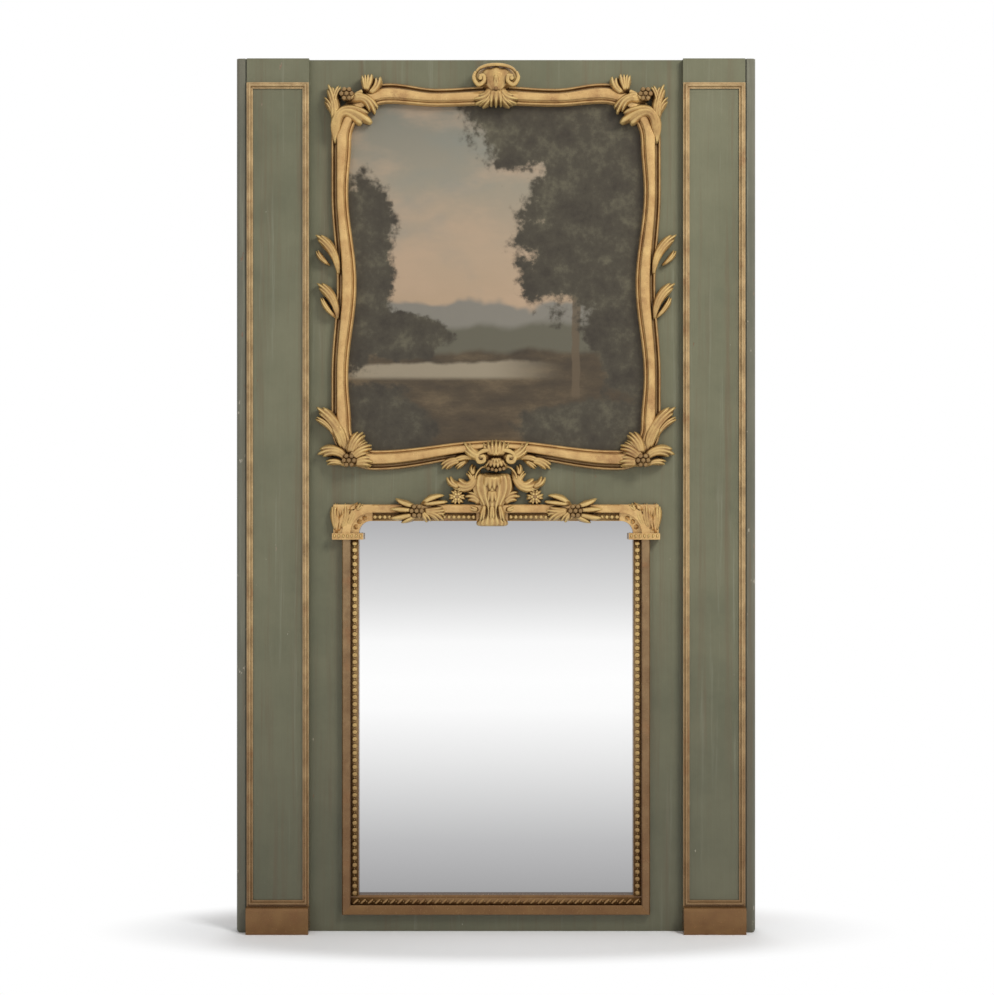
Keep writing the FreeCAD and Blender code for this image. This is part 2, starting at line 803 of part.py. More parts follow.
def corner_block():
    """The right-hand corner block: a plate round the rounded sight corner, a band, a collar and a leaf."""
    centre = (SIGHT_X - CORNER_SIGHT_RADIUS, SIGHT_TOP - CORNER_SIGHT_RADIUS)
    outer_x = MIRROR_X + CORNER_OUT
    top = MIRROR_FRAME_TOP
    plate = quarter(centre, CORNER_SIGHT_RADIUS) + [
        (SIGHT_X, COLLAR_BOTTOM),
        (outer_x, COLLAR_BOTTOM),
        (outer_x, top),
        (CORNER_X, top),
        (CORNER_X, SIGHT_TOP),
    ]
    bed = relief(plate, 0, MIRROR_BED_RISE)
    tongue_x = (CORNER_X, OPEN_X - REBATE_GAP)
    tongue_z = (COLLAR_BOTTOM, MIRROR_TOP - REBATE_GAP)
    tongue = relief(plate, -REBATE_DEPTH, 0).common(box(tongue_x, (FRONT, BACK), tongue_z))
    inner_radius = CORNER_SIGHT_RADIUS + MIRROR_BED
    outer_radius = inner_radius + MIRROR_BAND
    band = quarter(centre, outer_radius)
    band += [(MIRROR_X, COLLAR_BOTTOM), (MIRROR_X - MIRROR_BAND, COLLAR_BOTTOM)]
    band += quarter(centre, inner_radius)[::-1]
    band += [(CORNER_X, centre[1] + inner_radius), (CORNER_X, centre[1] + outer_radius)]
    collar_x = (SIGHT_X - COLLAR_OVERHANG, outer_x + 2)
    collar_z = (COLLAR_BOTTOM, COLLAR_BOTTOM + CORNER_COLLAR_HEIGHT)
    parts = [
        bed,
        tongue,
        relief(band, 0, MIRROR_BAND_RISE),
        corner_field(centre, outer_radius, outer_x, top),
        box(collar_x, (FRONT, FRONT - COLLAR_RISE), collar_z),
        leaf((outer_x - 6, COLLAR_BOTTOM + 8), (outer_x - 8, top + 3), 16, 2, 17),
        leaf((outer_x - 10, COLLAR_BOTTOM + 14), (outer_x - 30, top + 3), 14, -4, 17),
        leaf((outer_x - 32, top - 12), (outer_x - 50, top + 5), 15, 3, 17),
    ]
    for i in range(1, 4):
        angle = math.radians(90.0 * i / 4)
        radius = CORNER_SIGHT_RADIUS + MIRROR_BED / 2
        x = centre[0] + radius * math.cos(angle)
        z = centre[1] + radius * math.sin(angle)
        parts.append(pearl(x, z, MIRROR_BED_RISE - 0.5))
    return joined(parts)


def corner_field(centre, radius, outer_x, top):
    """The flat field outside the curved band."""
    field = quarter(centre, radius) + [(outer_x, centre[1]), (outer_x, top)]
    return relief(field, 0, CORNER_PLATE_RISE)


def pearl(x, z, rest):
    """A bead carved with six slopes, which sits at the given rise."""
    base = [at_rise(rest)(*point) for point in ring_points(x, z, PEARL_RADIUS, 6)]
    peak = at_rise(rest + PEARL_RADIUS)(x, z)
    slopes = [flat_face([base[i - 1], base[i], peak]) for i in range(len(base))]
    return Part.Solid(Part.Shell(slopes + [flat_face(base)]))


def strip_places(length, pitch):
    """Even places along a strip, at about the pitch, centred on it."""
    count = max(1, int(length // pitch))
    step = length / count
    return [(i + 0.5 - count / 2) * step for i in range(count)]


def pearl_side_strip():
    """The row of pearls on the right-hand member's bed."""
    middle_x = SIGHT_X + MIRROR_BED / 2
    low = MIRROR_FRAME_BOTTOM + MIRROR_BAND + STRIP_WIDTH + MIRROR_BOTTOM_EXTRA
    high = COLLAR_BOTTOM - STRIP_END_GAP
    x = (middle_x - STRIP_WIDTH / 2, middle_x + STRIP_WIDTH / 2)
    y = (FRONT - MIRROR_BED_RISE, FRONT - MIRROR_BED_RISE - STRIP_THICKNESS)
    parts = [box(x, y, (low, high))]
    for z in strip_places(high - low, PEARL_PITCH):
        parts.append(pearl(middle_x, (low + high) / 2 + z, MIRROR_BED_RISE + STRIP_THICKNESS - 0.5))
    return joined(parts)


def pearl_top_strip(low, high):
    """A row of pearls on the top member's bed, between two places."""
    middle_z = SIGHT_TOP + MIRROR_BED / 2
    z = (middle_z - STRIP_WIDTH / 2, middle_z + STRIP_WIDTH / 2)
    y = (FRONT - MIRROR_BED_RISE, FRONT - MIRROR_BED_RISE - STRIP_THICKNESS)
    parts = [box((low, high), y, z)]
    for x in strip_places(high - low, PEARL_PITCH):
        parts.append(pearl((low + high) / 2 + x, middle_z, MIRROR_BED_RISE + STRIP_THICKNESS - 0.5))
    return joined(parts)


def pearl_top_strips():
    """The rows of pearls each side of the vase."""
    end = CORNER_X - STRIP_END_GAP
    beside = VASE_FOOT + STRIP_END_GAP
    return [pearl_top_strip(-end, VASE_X - beside), pearl_top_strip(VASE_X + beside, end)]


def over_pearls():
    """The room over the top member's pearls, which the garlands bridge."""
    top = MIRROR_BED_RISE + STRIP_THICKNESS + PEARL_RADIUS
    return box((-CORNER_X, CORNER_X), (FRONT, FRONT - top), (0, SIGHT_TOP + MIRROR_BED))


def ribbon_strip():
    """The twisted ribbon on the bottom member's bed: a row of slanting reeds."""
    low = MIRROR_FRAME_BOTTOM + MIRROR_BAND + MIRROR_BOTTOM_EXTRA / 2 + STRIP_END_GAP
    reach = MIRROR_X - MIRROR_BAND - STRIP_END_GAP
    rest = MIRROR_BED_RISE + STRIP_THICKNESS
    high = low + STRIP_WIDTH - 1
    parts = [box((-reach, reach), (FRONT - MIRROR_BED_RISE, FRONT - rest), (low, high))]
    slant = RIBBON_PITCH * 0.3
    half = RIBBON_PITCH * 0.22
    for x in strip_places(2 * reach - RIBBON_PITCH, RIBBON_PITCH):
        reed = [
            (x - slant - half, low + 1),
            (x - slant + half, low + 1),
            (x + slant + half, high - 1),
            (x + slant - half, high - 1),
        ]
        parts.append(relief(reed, rest - 0.5, rest + RIBBON_RISE))
    return joined(parts)


# ---------------------------------------------------------------- mirror plate

def glass_y():
    near = FRONT + REBATE_DEPTH
    return (near, near + GLASS_THICKNESS)


def mirror_glass():
    x = OPEN_X - GLASS_GAP
    return box((-x, x), glass_y(), (BOTTOM_RAIL_HEIGHT, MIRROR_TOP - GLASS_GAP))


def backing_boards():
    """Upright boards behind the plate, side by side."""
    near = glass_y()[1]
    span = 2 * (OPEN_X - GLASS_GAP)
    width = (span - BACKING_JOINT * (BACKING_BOARDS - 1)) / BACKING_BOARDS
    boards = []
    for i in range(BACKING_BOARDS):
        start = -span / 2 + i * (width + BACKING_JOINT)
        z = (BOTTOM_RAIL_HEIGHT, MIRROR_TOP - GLASS_GAP)
        boards.append(box((start, start + width), (near, near + BACKING_THICKNESS), z))
    return boards


def retainers(low, high, near):
    """Small blocks glued round an opening, behind what they hold."""
    half = RETAINER_LENGTH / 2
    depth = (near, BACK)
    blocks = []
    for share in (0.2, 0.5, 0.8):
        z = low + (high - low) * share
        for way in (-1, 1):
            x = (way * OPEN_X, way * (OPEN_X - RETAINER_WIDTH))
            blocks.append(box(x, depth, (z - half, z + half)))
    for x in (-OPEN_X / 2, OPEN_X / 2):
        blocks.append(box((x - half, x + half), depth, (low, low + RETAINER_WIDTH)))
        blocks.append(box((x - half, x + half), depth, (high - RETAINER_WIDTH, high)))
    return blocks


def retaining_blocks():
    """The blocks behind the mirror's boards and behind the picture's stretcher."""
    plate = retainers(BOTTOM_RAIL_HEIGHT, MIRROR_TOP, glass_y()[1] + BACKING_THICKNESS)
    return plate + retainers(PICTURE_BOTTOM, PICTURE_TOP, stretcher_y()[1])


# ---------------------------------------------------------------- picture

def stretcher_y():
    near = FRONT + CANVAS_FRONT_GAP + CANVAS_THICKNESS
    return (near, near + STRETCHER_THICKNESS)


def stretcher_limits():
    """The stretcher's half width, bottom and top."""
    gap = PICTURE_GAP + CANVAS_THICKNESS
    return (OPEN_X - gap, PICTURE_BOTTOM + gap, PICTURE_TOP - gap)


def tenon_y():
    near, far = stretcher_y()
    middle = (near + far) / 2
    half = STRETCHER_TENON_THICKNESS / 2
    return (middle - half, middle + half)


def stretcher_crosses():
    """Each cross bar's bottom, and the side its keys are on: 1 for over it and -1 for under it."""
    _, low, high = stretcher_limits()
    return ((low, 1), ((low + high - STRETCHER_WIDTH) / 2, 1), (high - STRETCHER_WIDTH, -1))


def stretcher_cross(level):
    """A cross bar with a tenon at each end."""
    half, _, _ = stretcher_limits()
    shoulder = half - STRETCHER_WIDTH
    z = (level, level + STRETCHER_WIDTH)
    reach = shoulder + STRETCHER_TENON
    return joined([box((-shoulder, shoulder), stretcher_y(), z), box((-reach, reach), tenon_y(), z)])


def keyed_edge(level, way):
    """The edge of a cross bar that its keys lie along."""
    return level + STRETCHER_WIDTH if way > 0 else level


def stretcher_upright():
    """The right-hand upright, slotted for each cross bar's tenon and its key."""
    half, low, high = stretcher_limits()
    inner = half - STRETCHER_WIDTH
    bar = box((inner, half), stretcher_y(), (low, high))
    slot_x = (inner, inner + STRETCHER_TENON + KEY_GAP)
    for level, way in stretcher_crosses():
        edge = keyed_edge(level, way)
        slot_z = (edge - way * STRETCHER_WIDTH, edge + way * (KEY_WIDTH + KEY_GAP))
        bar = bar.cut(box(slot_x, tenon_y(), slot_z))
    return bar


def right_keys():
    """A wedge beside each tenon, which can be tapped in to tighten the canvas."""
    half, _, _ = stretcher_limits()
    inner = half - STRETCHER_WIDTH
    tip = inner + STRETCHER_TENON
    near, far = tenon_y()
    keys = []
    for level, way in stretcher_crosses():
        edge = keyed_edge(level, way) + way * KEY_GAP / 2
        plan = [
            (inner - KEY_OUT, edge),
            (inner - KEY_OUT, edge + way * KEY_WIDTH),
            (inner, edge + way * KEY_WIDTH),
            (tip, edge + way * KEY_WIDTH / 2),
            (tip, edge),
        ]
        keys.append(relief(plan, FRONT - near - KEY_GAP, FRONT - far + KEY_GAP))
    return keys


def canvas():
    """The canvas: a sheet over the stretcher's front, turned back along its edges."""
    half, low, high = stretcher_limits()
    near = stretcher_y()[0]
    t = CANVAS_THICKNESS
    tray = box((-half - t, half + t), (near - t, near + CANVAS_TURN), (low - t, high + t))
    return tray.cut(box((-half, half), (near, near + CANVAS_TURN), (low, high)))


def tacks():
    """Tacks along the canvas's turned edges, heads outward."""
    half, low, high = stretcher_limits()
    y = stretcher_y()[0] + CANVAS_TURN / 2
    middle = (low + high) / 2
    t = CANVAS_THICKNESS
    pieces = []
    for z in strip_places(high - low - STRETCHER_WIDTH, TACK_PITCH):
        for way in (-1, 1):
            pieces.append(tack(V(way * (half + t), y, middle + z), V(-way, 0, 0)))
    for x in strip_places(2 * half - STRETCHER_WIDTH, TACK_PITCH):
        pieces.append(tack(V(x, y, high + t), V(0, 0, -1)))
        pieces.append(tack(V(x, y, low - t), V(0, 0, 1)))
    return pieces


def tack(place, way):
    shank = square_bar(place, way, TACK_SHANK, TACK_LENGTH)
    head = square_bar(place, way * -1, TACK_HEAD, TACK_HEAD_THICKNESS)
    return shank.fuse(head)


# ---------------------------------------------------------------- hangers

def knuckle_radius():
    return RING_WIRE + KNUCKLE_GAP + STRAP_THICKNESS


def ring_axis():
    """The middle of the right-hand ring's straight side."""
    return V(HANGER_X, BACK + knuckle_radius(), HANGER_Z)


def hanger_strap():
    """A strap with its upper end rolled round the ring."""
    half = STRAP_WIDTH / 2
    start = ring_axis() - V(half, 0, 0)
    roll = many_sided(start, knuckle_radius(), STRAP_WIDTH)
    bore = many_sided(start, RING_WIRE + KNUCKLE_GAP, STRAP_WIDTH)
    x = (HANGER_X - half, HANGER_X + half)
    plate = box(x, (BACK, BACK + STRAP_THICKNESS), (HANGER_Z - STRAP_LENGTH, HANGER_Z))
    return joined([roll, plate]).cut(bore)


def many_sided(start, radius, length):
    """A bar along X with as many sides as the roll."""
    corners = [start + V(0, y, z) for y, z in ring_points(0, 0, radius, ROLL_SIDES)]
    return flat_face(corners).extrude(V(length, 0, 0))


def hanger_ring():
    """The forged ring: a straight side in the strap's roll and a round bow that hangs from it."""
    axis = ring_axis()
    reach = V(RING_HALF_WIDTH, 0, 0)
    bow = Part.Arc(axis + reach, axis - V(0, 0, RING_DROP), axis - reach).toShape()
    path = bow.discretize(BOW_FACETS + 1)
    section = hexagon(path[0], path[1] - path[0])
    wire = Part.makePolygon(path).makePipeShell([section], True, False, 1)
    overlap = V(RING_WIRE * 0.5, 0, 0)
    side = hexagon(axis - reach - overlap, V(1, 0, 0))
    bar = Part.Face(side).extrude((reach + overlap) * 2)
    return joined([wire, bar])


def hexagon(centre, way):
    """The ring's section, square to the way it runs."""
    up = V(0, 1, 0)
    side = way.cross(up).normalize()
    corners = [centre + side * x + up * y for x, y in ring_points(0, 0, RING_WIRE, 6)]
    return Part.makePolygon(corners + corners[:1])


def right_hanger_nails():
    """The forged nails that hold the strap to the stile."""
    out = BACK + STRAP_THICKNESS
    return [nail(V(HANGER_X, out, HANGER_Z - drop), HANGER_NAIL_LENGTH) for drop in NAIL_DROPS]


# ---------------------------------------------------------------- assembly

def carcass():
    """The painted boards with their joints, battens and nails."""
    nails = batten_nails()
    hooks = right_hanger_nails()
    stile = right_stile()
    strap = hanger_strap()
    pieces = {
        "stile_right": stile.cut(group(nails + hooks)),
        "stile_left": mirrored(stile).cut(group(nails + [mirrored(hook) for hook in hooks])),
        "edge_moulding_right": right_edge_moulding(),
        "edge_moulding_left": mirrored(right_edge_moulding()),
        "batten_nails": group(nails),
        "hanger_strap_right": strap.cut(group(hooks)),
        "hanger_strap_left": mirrored(strap.cut(group(hooks))),
        "hanger_ring_right": hanger_ring(),
        "hanger_ring_left": mirrored(hanger_ring()),
        "hanger_nails": group(hooks + [mirrored(hook) for hook in hooks]),
    }
    for name, level in zip(("bottom", "middle", "top"), rail_levels()):
        pieces[name + "_rail"] = rail(*level)
    reach = STILE_X - BATTEN_END_GAP
    depth = (BACK, BACK + BATTEN_THICKNESS)
    for name, low in zip(("bottom", "middle", "top"), batten_bottoms()):
        batten = box((-reach, reach), depth, (low, low + BATTEN_HEIGHT))
        pieces["back_batten_" + name] = batten.cut(group(nails))
    return pieces


def pilasters():
    strips = right_panel_mouldings()
    return {
        "pilaster_right": right_pilaster(),
        "pilaster_left": mirrored(right_pilaster()),
        "pilaster_moulding_right": group(strips),
        "pilaster_moulding_left": group([mirrored(strip) for strip in strips]),
        "plinth_block_right": right_block(),
        "plinth_block_left": mirrored(right_block()),
    }


def picture():
    """The canvas on its keyed stretcher."""
    nails = group(tacks())
    upright = stretcher_upright()
    keys = right_keys()
    pieces = {
        "canvas": canvas().cut(nails),
        "stretcher_right": upright.cut(nails),
        "stretcher_left": mirrored(upright).cut(nails),
        "stretcher_keys": group(keys + [mirrored(key) for key in keys]),
        "canvas_tacks": nails,
    }
    for name, (level, _) in zip(("bottom", "middle", "top"), stretcher_crosses()):
        pieces["stretcher_" + name] = stretcher_cross(level).cut(nails)
    return pieces


def picture_frame():
    """The serpentine frame and the carving seated on it."""
    routes = [
        side_stations(),
        cross_stations(FRAME_TOP, 1, TOP_CORNER, TOP_DIP, TOP_SWELLING, TOP_RETURN),
        cross_stations(FRAME_BOTTOM, -1, BOTTOM_CORNER, BOTTOM_ARCH, BOTTOM_SWELLING, BOTTOM_RETURN),
    ]
    side, top, bottom = [serpentine_member(route, serpentine_profile) for route in routes]
    side_seat, top_seat, bottom_seat = [serpentine_member(route, seat_profile) for route in routes]
    upper = seated(top_corner_spray(), side_seat, top_seat)
    lower = seated(bottom_corner_spray(), side_seat, bottom_seat)
    sprigs = [seated(sprig, side_seat) for sprig in side_sprigs()]
    return {
        "picture_frame_right": side,
        "picture_frame_left": mirrored(side),
        "picture_frame_top": top,
        "picture_frame_bottom": bottom,
        "shell_cartouche": seated(top_shell(), top_seat),
        "lower_cartouche": seated(lower_cartouche(), bottom_seat),
        "corner_spray_top_right": upper,
        "corner_spray_top_left": mirrored(upper),
        "corner_spray_bottom_right": lower,
        "corner_spray_bottom_left": mirrored(lower),
        "side_sprigs_right": group(sprigs),
        "side_sprigs_left": group([mirrored(sprig) for sprig in sprigs]),
    }


def mirror():
    """The plate, what holds it, its frame with pearls, and the carving over the frame."""
    top = mirror_top()
    side = mirror_side()
    pearls = pearl_side_strip()
    block = corner_block()
    garland = seated(right_garland(), top, over_pearls())
    scroll = right_scroll()
    return {
        "mirror_glass": mirror_glass(),
        "mirror_backing_boards": group(backing_boards()),
        "retaining_blocks": group(retaining_blocks()),
        "mirror_frame_right": side,
        "mirror_frame_left": mirrored(side),
        "mirror_frame_top": top,
        "mirror_frame_bottom": mirror_bottom(),
        "corner_block_right": block,
        "corner_block_left": mirrored(block),
        "pearl_strip_right": pearls,
        "pearl_strip_left": mirrored(pearls),
        "pearl_strip_top": group(pearl_top_strips()),
        "ribbon_strip": ribbon_strip(),
        "vase_crest": seated(vase_crest(), top),
        "scroll_right": moved(scroll, VASE_X, 0),
        "scroll_left": moved(mirrored(scroll), VASE_X, 0),
        "garland_right": garland,
        "garland_left": mirrored(garland),
    }


def main():
    os.makedirs("parts", exist_ok=True)
    for pieces in (carcass(), pilasters(), picture(), picture_frame(), mirror()):
        for name, shape in pieces.items():
            shape.exportStep("parts/" + name + ".step")


main()
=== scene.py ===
"""Looks of the trumeau mirror: carved gilding, worn paint, an old picture and a mirror plate.

The helpers take millimetres: x to the viewer's right, z up, and "rise" in front of the carcass boards.
"""

import math

import bmesh
import bpy
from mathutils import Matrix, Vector


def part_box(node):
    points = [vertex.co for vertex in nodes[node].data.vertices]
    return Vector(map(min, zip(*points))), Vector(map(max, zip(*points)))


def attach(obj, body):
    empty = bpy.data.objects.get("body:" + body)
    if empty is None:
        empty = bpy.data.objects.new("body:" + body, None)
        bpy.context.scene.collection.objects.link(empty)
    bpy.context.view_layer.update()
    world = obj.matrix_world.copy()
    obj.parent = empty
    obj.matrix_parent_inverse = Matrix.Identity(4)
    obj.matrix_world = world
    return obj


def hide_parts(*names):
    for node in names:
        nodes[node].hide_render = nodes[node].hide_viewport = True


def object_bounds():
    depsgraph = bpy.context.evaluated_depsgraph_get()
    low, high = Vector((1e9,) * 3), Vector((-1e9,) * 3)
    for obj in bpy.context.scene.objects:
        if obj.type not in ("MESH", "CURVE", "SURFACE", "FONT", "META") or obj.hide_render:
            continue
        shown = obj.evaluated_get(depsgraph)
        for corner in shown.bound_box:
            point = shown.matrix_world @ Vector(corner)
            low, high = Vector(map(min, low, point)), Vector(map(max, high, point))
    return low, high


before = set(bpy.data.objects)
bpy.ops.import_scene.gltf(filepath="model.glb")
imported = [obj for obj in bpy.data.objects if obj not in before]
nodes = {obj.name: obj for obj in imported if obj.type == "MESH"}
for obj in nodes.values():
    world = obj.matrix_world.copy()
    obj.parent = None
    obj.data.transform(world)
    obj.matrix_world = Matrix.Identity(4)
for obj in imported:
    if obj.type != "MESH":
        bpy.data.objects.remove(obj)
cad_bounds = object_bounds()

MM = 0.001


def limits(node):
    """A CAD node's lowest and highest corner, in millimetres."""
    low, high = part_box(node)
    return low / MM, high / MM


# Places, read from the CAD frame
FRONT = limits("middle_rail")[0].y
FRAME_X = limits("picture_frame_right")[1].x
FRAME_TOP = limits("picture_frame_top")[1].z
FRAME_BOTTOM = limits("picture_frame_bottom")[0].z
MIRROR_TOP = limits("mirror_frame_top")[1].z
PICTURE_LOW, PICTURE_HIGH = limits("canvas")
VASE_X = (limits("vase_crest")[0].x + limits("vase_crest")[1].x) / 2
HEIGHT = limits("stile_right")[1].z

# Serpentine frame, in the CAD's sizes, apart from a bottom member that bows further. The cartouche is
# lifted by as much as the CAD's member bows.
SERPENTINE_WIDTH = 41.0
TOP_CORNER = 120.0
BOTTOM_CORNER = 90.0
SERPENTINE_RISE = 26.0
LOBE_NARROWING = 6.0
LOBE_SHARE = 0.35
SIDE_SWAY = 11.0
TOP_DIP = 11.0
TOP_SWELLING = -5.0
TOP_BEND = 0.45
TOP_RETURN = 0.5
BOTTOM_BOW = 29.0
BOTTOM_SWELLING = -8.0
BOTTOM_BEND = 0.999
BEAD_WIDTH = 6.0
BEAD_RISE = 12.0
GROOVE_RISE = 6.0
BAND_START = 22
BAND_TURN = 128
LIP_WIDTH = 7.0
LIP_RISE = 16.0
CARTOUCHE_LIFT = 17.0

# Leaves: their strands' grooves and notches, and the narrower seat on the boards
DEEPEST_GROOVE = 5.0
DEEPEST_NOTCH = 0.45
SEAT_SHARE = 0.92

# Fineness of the meshes
LEAF_STEPS = 20
STRAND_STEPS = 6
BALL_RINGS = 6
BALL_SIDES = 12
STEM_SIDES = 8
ROUTE_STEPS = 6
FLUTE_SIDES = 4
FLUTE_ROUTE_STEPS = 4
CORNER_STEPS = 12
MEMBER_STEPS = 64
BEAD_STEPS = 6
BAND_STEPS = 8
LIP_STEPS = 5
CANVAS_COLUMNS = 60
CANVAS_ROWS = 72

SIDES = (("right", False), ("left", True))

# Camera of the photograph
CAMERA_DISTANCE = 3.5
CAMERA_X = 0.002
CAMERA_Z = 0.896
MM_PER_PIXEL = 2.0666
IMAGE_WIDTH = 994
SENSOR_WIDTH = 36.0


# ---------------------------------------------------------------- shader nodes

def tint(red, green, blue):
    """A colour from 0 to 255 as the eye sees it."""
    shares = [value / 255 for value in (red, green, blue)]
    return [s / 12.92 if s < 0.04 else ((s + 0.055) / 1.055) ** 2.4 for s in shares] + [1.0]


def halfway(a, b):
    """The colour half-way between two."""
    return [(x + y) / 2 for x, y in zip(a, b)]


class Shader:
    """A material with a Principled shader, to which nodes are added one by one."""

    def __init__(self, name):
        self.material = bpy.data.materials.new(name)
        self.material.use_nodes = True
        self.tree = self.material.node_tree
        self.principled = self.tree.nodes["Principled BSDF"]
        self.place = self.add("TexCoord").outputs["Object"]

    def add(self, kind, values=(), **settings):
        """Adds a node. Each value is a socket's name or number with a number, colour or output."""
        node = self.tree.nodes.new("ShaderNode" + kind)
        for key, value in settings.items():
            setattr(node, key, value)
        for socket, value in values:
            self.give(node.inputs[socket], value)
        return node

    def give(self, socket, value):
        if isinstance(value, bpy.types.NodeSocket):
            self.tree.links.new(value, socket)
        else:
            socket.default_value = value

    def set(self, **values):
        """Sets the Principled shader's sockets, with _ for each space in a name."""
        for name, value in values.items():
            self.give(self.principled.inputs[name.replace("_", " ")], value)

    def stretched(self, x, y, z):
        """The place, scaled along each axis."""
        return self.add("Mapping", [("Vector", self.place), ("Scale", (x, y, z))]).outputs[0]

    def noise(self, scale, detail=5.0, roughness=0.55, place=None, distortion=0.0):
        values = [
            ("Vector", place or self.place),
            ("Scale", scale),
            ("Detail", detail),
            ("Roughness", roughness),
            ("Distortion", distortion),
        ]
        return self.add("TexNoise", values).outputs["Fac"]

    def math(self, operation, a, b=0.0):
        return self.add("Math", [(0, a), (1, b)], operation=operation).outputs[0]

    def step(self, value, low, high):
        """Rises smoothly from 0 to 1 between two values."""
        values = [("Value", value), ("From Min", low), ("From Max", high)]
        return self.add("MapRange", values, interpolation_type="SMOOTHSTEP").outputs[0]

    def fall(self, value, low, high):
        """Falls smoothly from 1 to 0 between two values."""
        return self.math("SUBTRACT", 1.0, self.step(value, low, high))

    def share(self, value, low, high):
        """How far a value has come from one limit to the other, from 0 to 1."""
        return self.add("MapRange", [("Value", value), ("From Min", low), ("From Max", high)]).outputs[0]

    def height(self):
        """The height over the floor, in metres."""
        return self.add("SeparateXYZ", [(0, self.place)]).outputs["Z"]

    def ramp(self, value, stops):
        node = self.add("ValToRGB", [(0, value)])
        stops_made = node.color_ramp.elements
        while len(stops_made) < len(stops):
            stops_made.new(1.0)
        for made, (position, colour) in zip(stops_made, stops):
            made.position = position
            made.color = colour
        return node.outputs[0]

    def mix(self, share, a, b):
        """The first colour, and by the share the second."""
        return self.add("Mix", [(0, share), (6, a), (7, b)], data_type="RGBA").outputs[2]

    def cover(self, colour, mask, share, over):
        """The colour, covered by another where the mask says so, by no more than the share."""
        return self.mix(self.math("MULTIPLY", mask, share), colour, over)

    def bump(self, height, strength, depth_mm):
        values = [("Height", height), ("Strength", strength), ("Distance", depth_mm * MM)]
        self.set(Normal=self.add("Bump", values).outputs[0])

    def recess(self, reach_mm):
        """How hidden a point is, from 0 in the open to 1 in a deep recess."""
        shade = self.add("AmbientOcclusion", [("Distance", reach_mm * MM)], samples=8)
        return self.math("SUBTRACT", 1.0, shade.outputs["AO"])

    def unseen_side(self):
        """One on the faces turned to the wall, nought on all others."""
        facing = self.add("SeparateXYZ", [(0, self.add("NewGeometry").outputs["Normal"])])
        return self.step(facing.outputs["Y"], 0.6, 0.8)


# ---------------------------------------------------------------- materials

def worn_paint(name, base, wear):
    """Old grey-green paint with brown vertical streaks and chips; darker towards the foot (painted shade)
    and in the recesses (grime and painted shade).
    """
    s = Shader(name)
    red, green, blue = base
    clouds = s.noise(3.4, 6.0, 0.65)
    colour = s.ramp(clouds, [
        (0.3, tint(red - 16, green - 14, blue - 12)),
        (0.5, tint(red, green, blue)),
        (0.72, tint(red + 12, green + 11, blue + 10)),
    ])
    streaks = s.noise(1.0, 6.0, 0.7, s.stretched(52, 52, 1.5))
    colour = s.cover(colour, s.step(streaks, 0.48, 0.72), 0.62, tint(112, 96, 74))
    pale = s.noise(1.0, 5.0, 0.65, s.stretched(64, 64, 2.2), 0.3)
    colour = s.cover(colour, s.step(pale, 0.56, 0.76), 0.5, tint(152, 152, 132))
    brushing = s.noise(1.0, 3.0, 0.5, s.stretched(420, 420, 9))
    colour = s.cover(colour, brushing, 0.2, tint(84, 84, 66))
    # Painted shade: the paint is darker towards the foot, as under light from above.
    foot = s.fall(s.height(), 0.0, 0.75)
    colour = s.cover(colour, foot, 0.42, tint(72, 71, 58))
    # Grime and painted shade: the paint is darker in the recesses, from the ambient occlusion.
    grime_and_shade = s.step(s.recess(30), 0.25, 0.9)
    colour = s.cover(colour, grime_and_shade, 0.45, tint(62, 60, 47))
    chips = s.step(s.noise(1.0, 4.0, 0.65, s.stretched(62, 62, 26)), 0.705 - wear, 0.725 - wear)
    chip_colour = s.mix(s.step(s.noise(9), 0.46, 0.56), tint(178, 170, 152), tint(124, 88, 64))
    colour = s.cover(colour, chips, 0.75, chip_colour)
    grain = s.noise(1.0, 8.0, 0.65, s.stretched(60, 60, 3), 0.6)
    bare = s.ramp(grain, [(0.3, tint(82, 62, 42)), (0.5, tint(116, 91, 64)), (0.7, tint(138, 112, 82))])
    colour = s.mix(s.unseen_side(), colour, bare)
    roughness = s.ramp(clouds, [(0.3, tint(150, 150, 150)), (0.7, tint(178, 178, 178))])
    s.set(Base_Color=colour, Roughness=roughness, Specular_IOR_Level=0.3)
    relief = s.math("ADD", s.math("MULTIPLY", brushing, 0.5), s.math("MULTIPLY", chips, -1.0))
    s.bump(relief, 0.5, 0.5)
    return s.material


def gilding(name, light, mid, dark, carved=False):
    """Worn gilding: bright where it stands out (painted highlight), brown in the recesses (dirt and painted
    shade) and towards the foot (painted shade).
    """
    s = Shader(name)
    clouds = s.noise(26, 5.0, 0.6)
    colour = s.ramp(clouds, [(0.34, mid), (0.52, halfway(mid, light)), (0.7, light)])
    worn = s.step(s.noise(14, 6.0, 0.7), 0.54, 0.68)
    colour = s.cover(colour, worn, 0.5, tint(150, 104, 66))
    fine = s.noise(210, 4.0, 0.65)
    colour = s.cover(colour, s.step(fine, 0.5, 0.75), 0.4, dark)
    # Painted highlight: carved work is lightened on its crests.
    if carved:
        crest = s.step(s.add("NewGeometry").outputs["Pointiness"], 0.505, 0.56)
        colour = s.cover(colour, crest, 0.6, tint(232, 203, 134))
    # Painted shade: the gilding is darker towards the foot.
    foot = s.fall(s.height(), 0.0, 0.85)
    colour = s.cover(colour, foot, 0.7, tint(106, 71, 37))
    # Dirt and painted shade in the recesses, from the ambient occlusion; carved work reaches it sooner.
    lowest, highest = (0.08, 0.6) if carved else (0.33, 1.0)
    deep = s.step(s.recess(12), lowest, highest)
    colour = s.cover(colour, deep, 0.88, tint(84, 52, 28))
    s.set(Base_Color=colour, Metallic=0.45)
    s.set(Roughness=s.ramp(fine, [(0.3, tint(100, 100, 100)), (0.8, tint(160, 160, 160))]))
    s.bump(s.math("ADD", s.math("MULTIPLY", clouds, 0.8), s.math("MULTIPLY", fine, 0.35)), 0.35, 0.6)
    return s.material


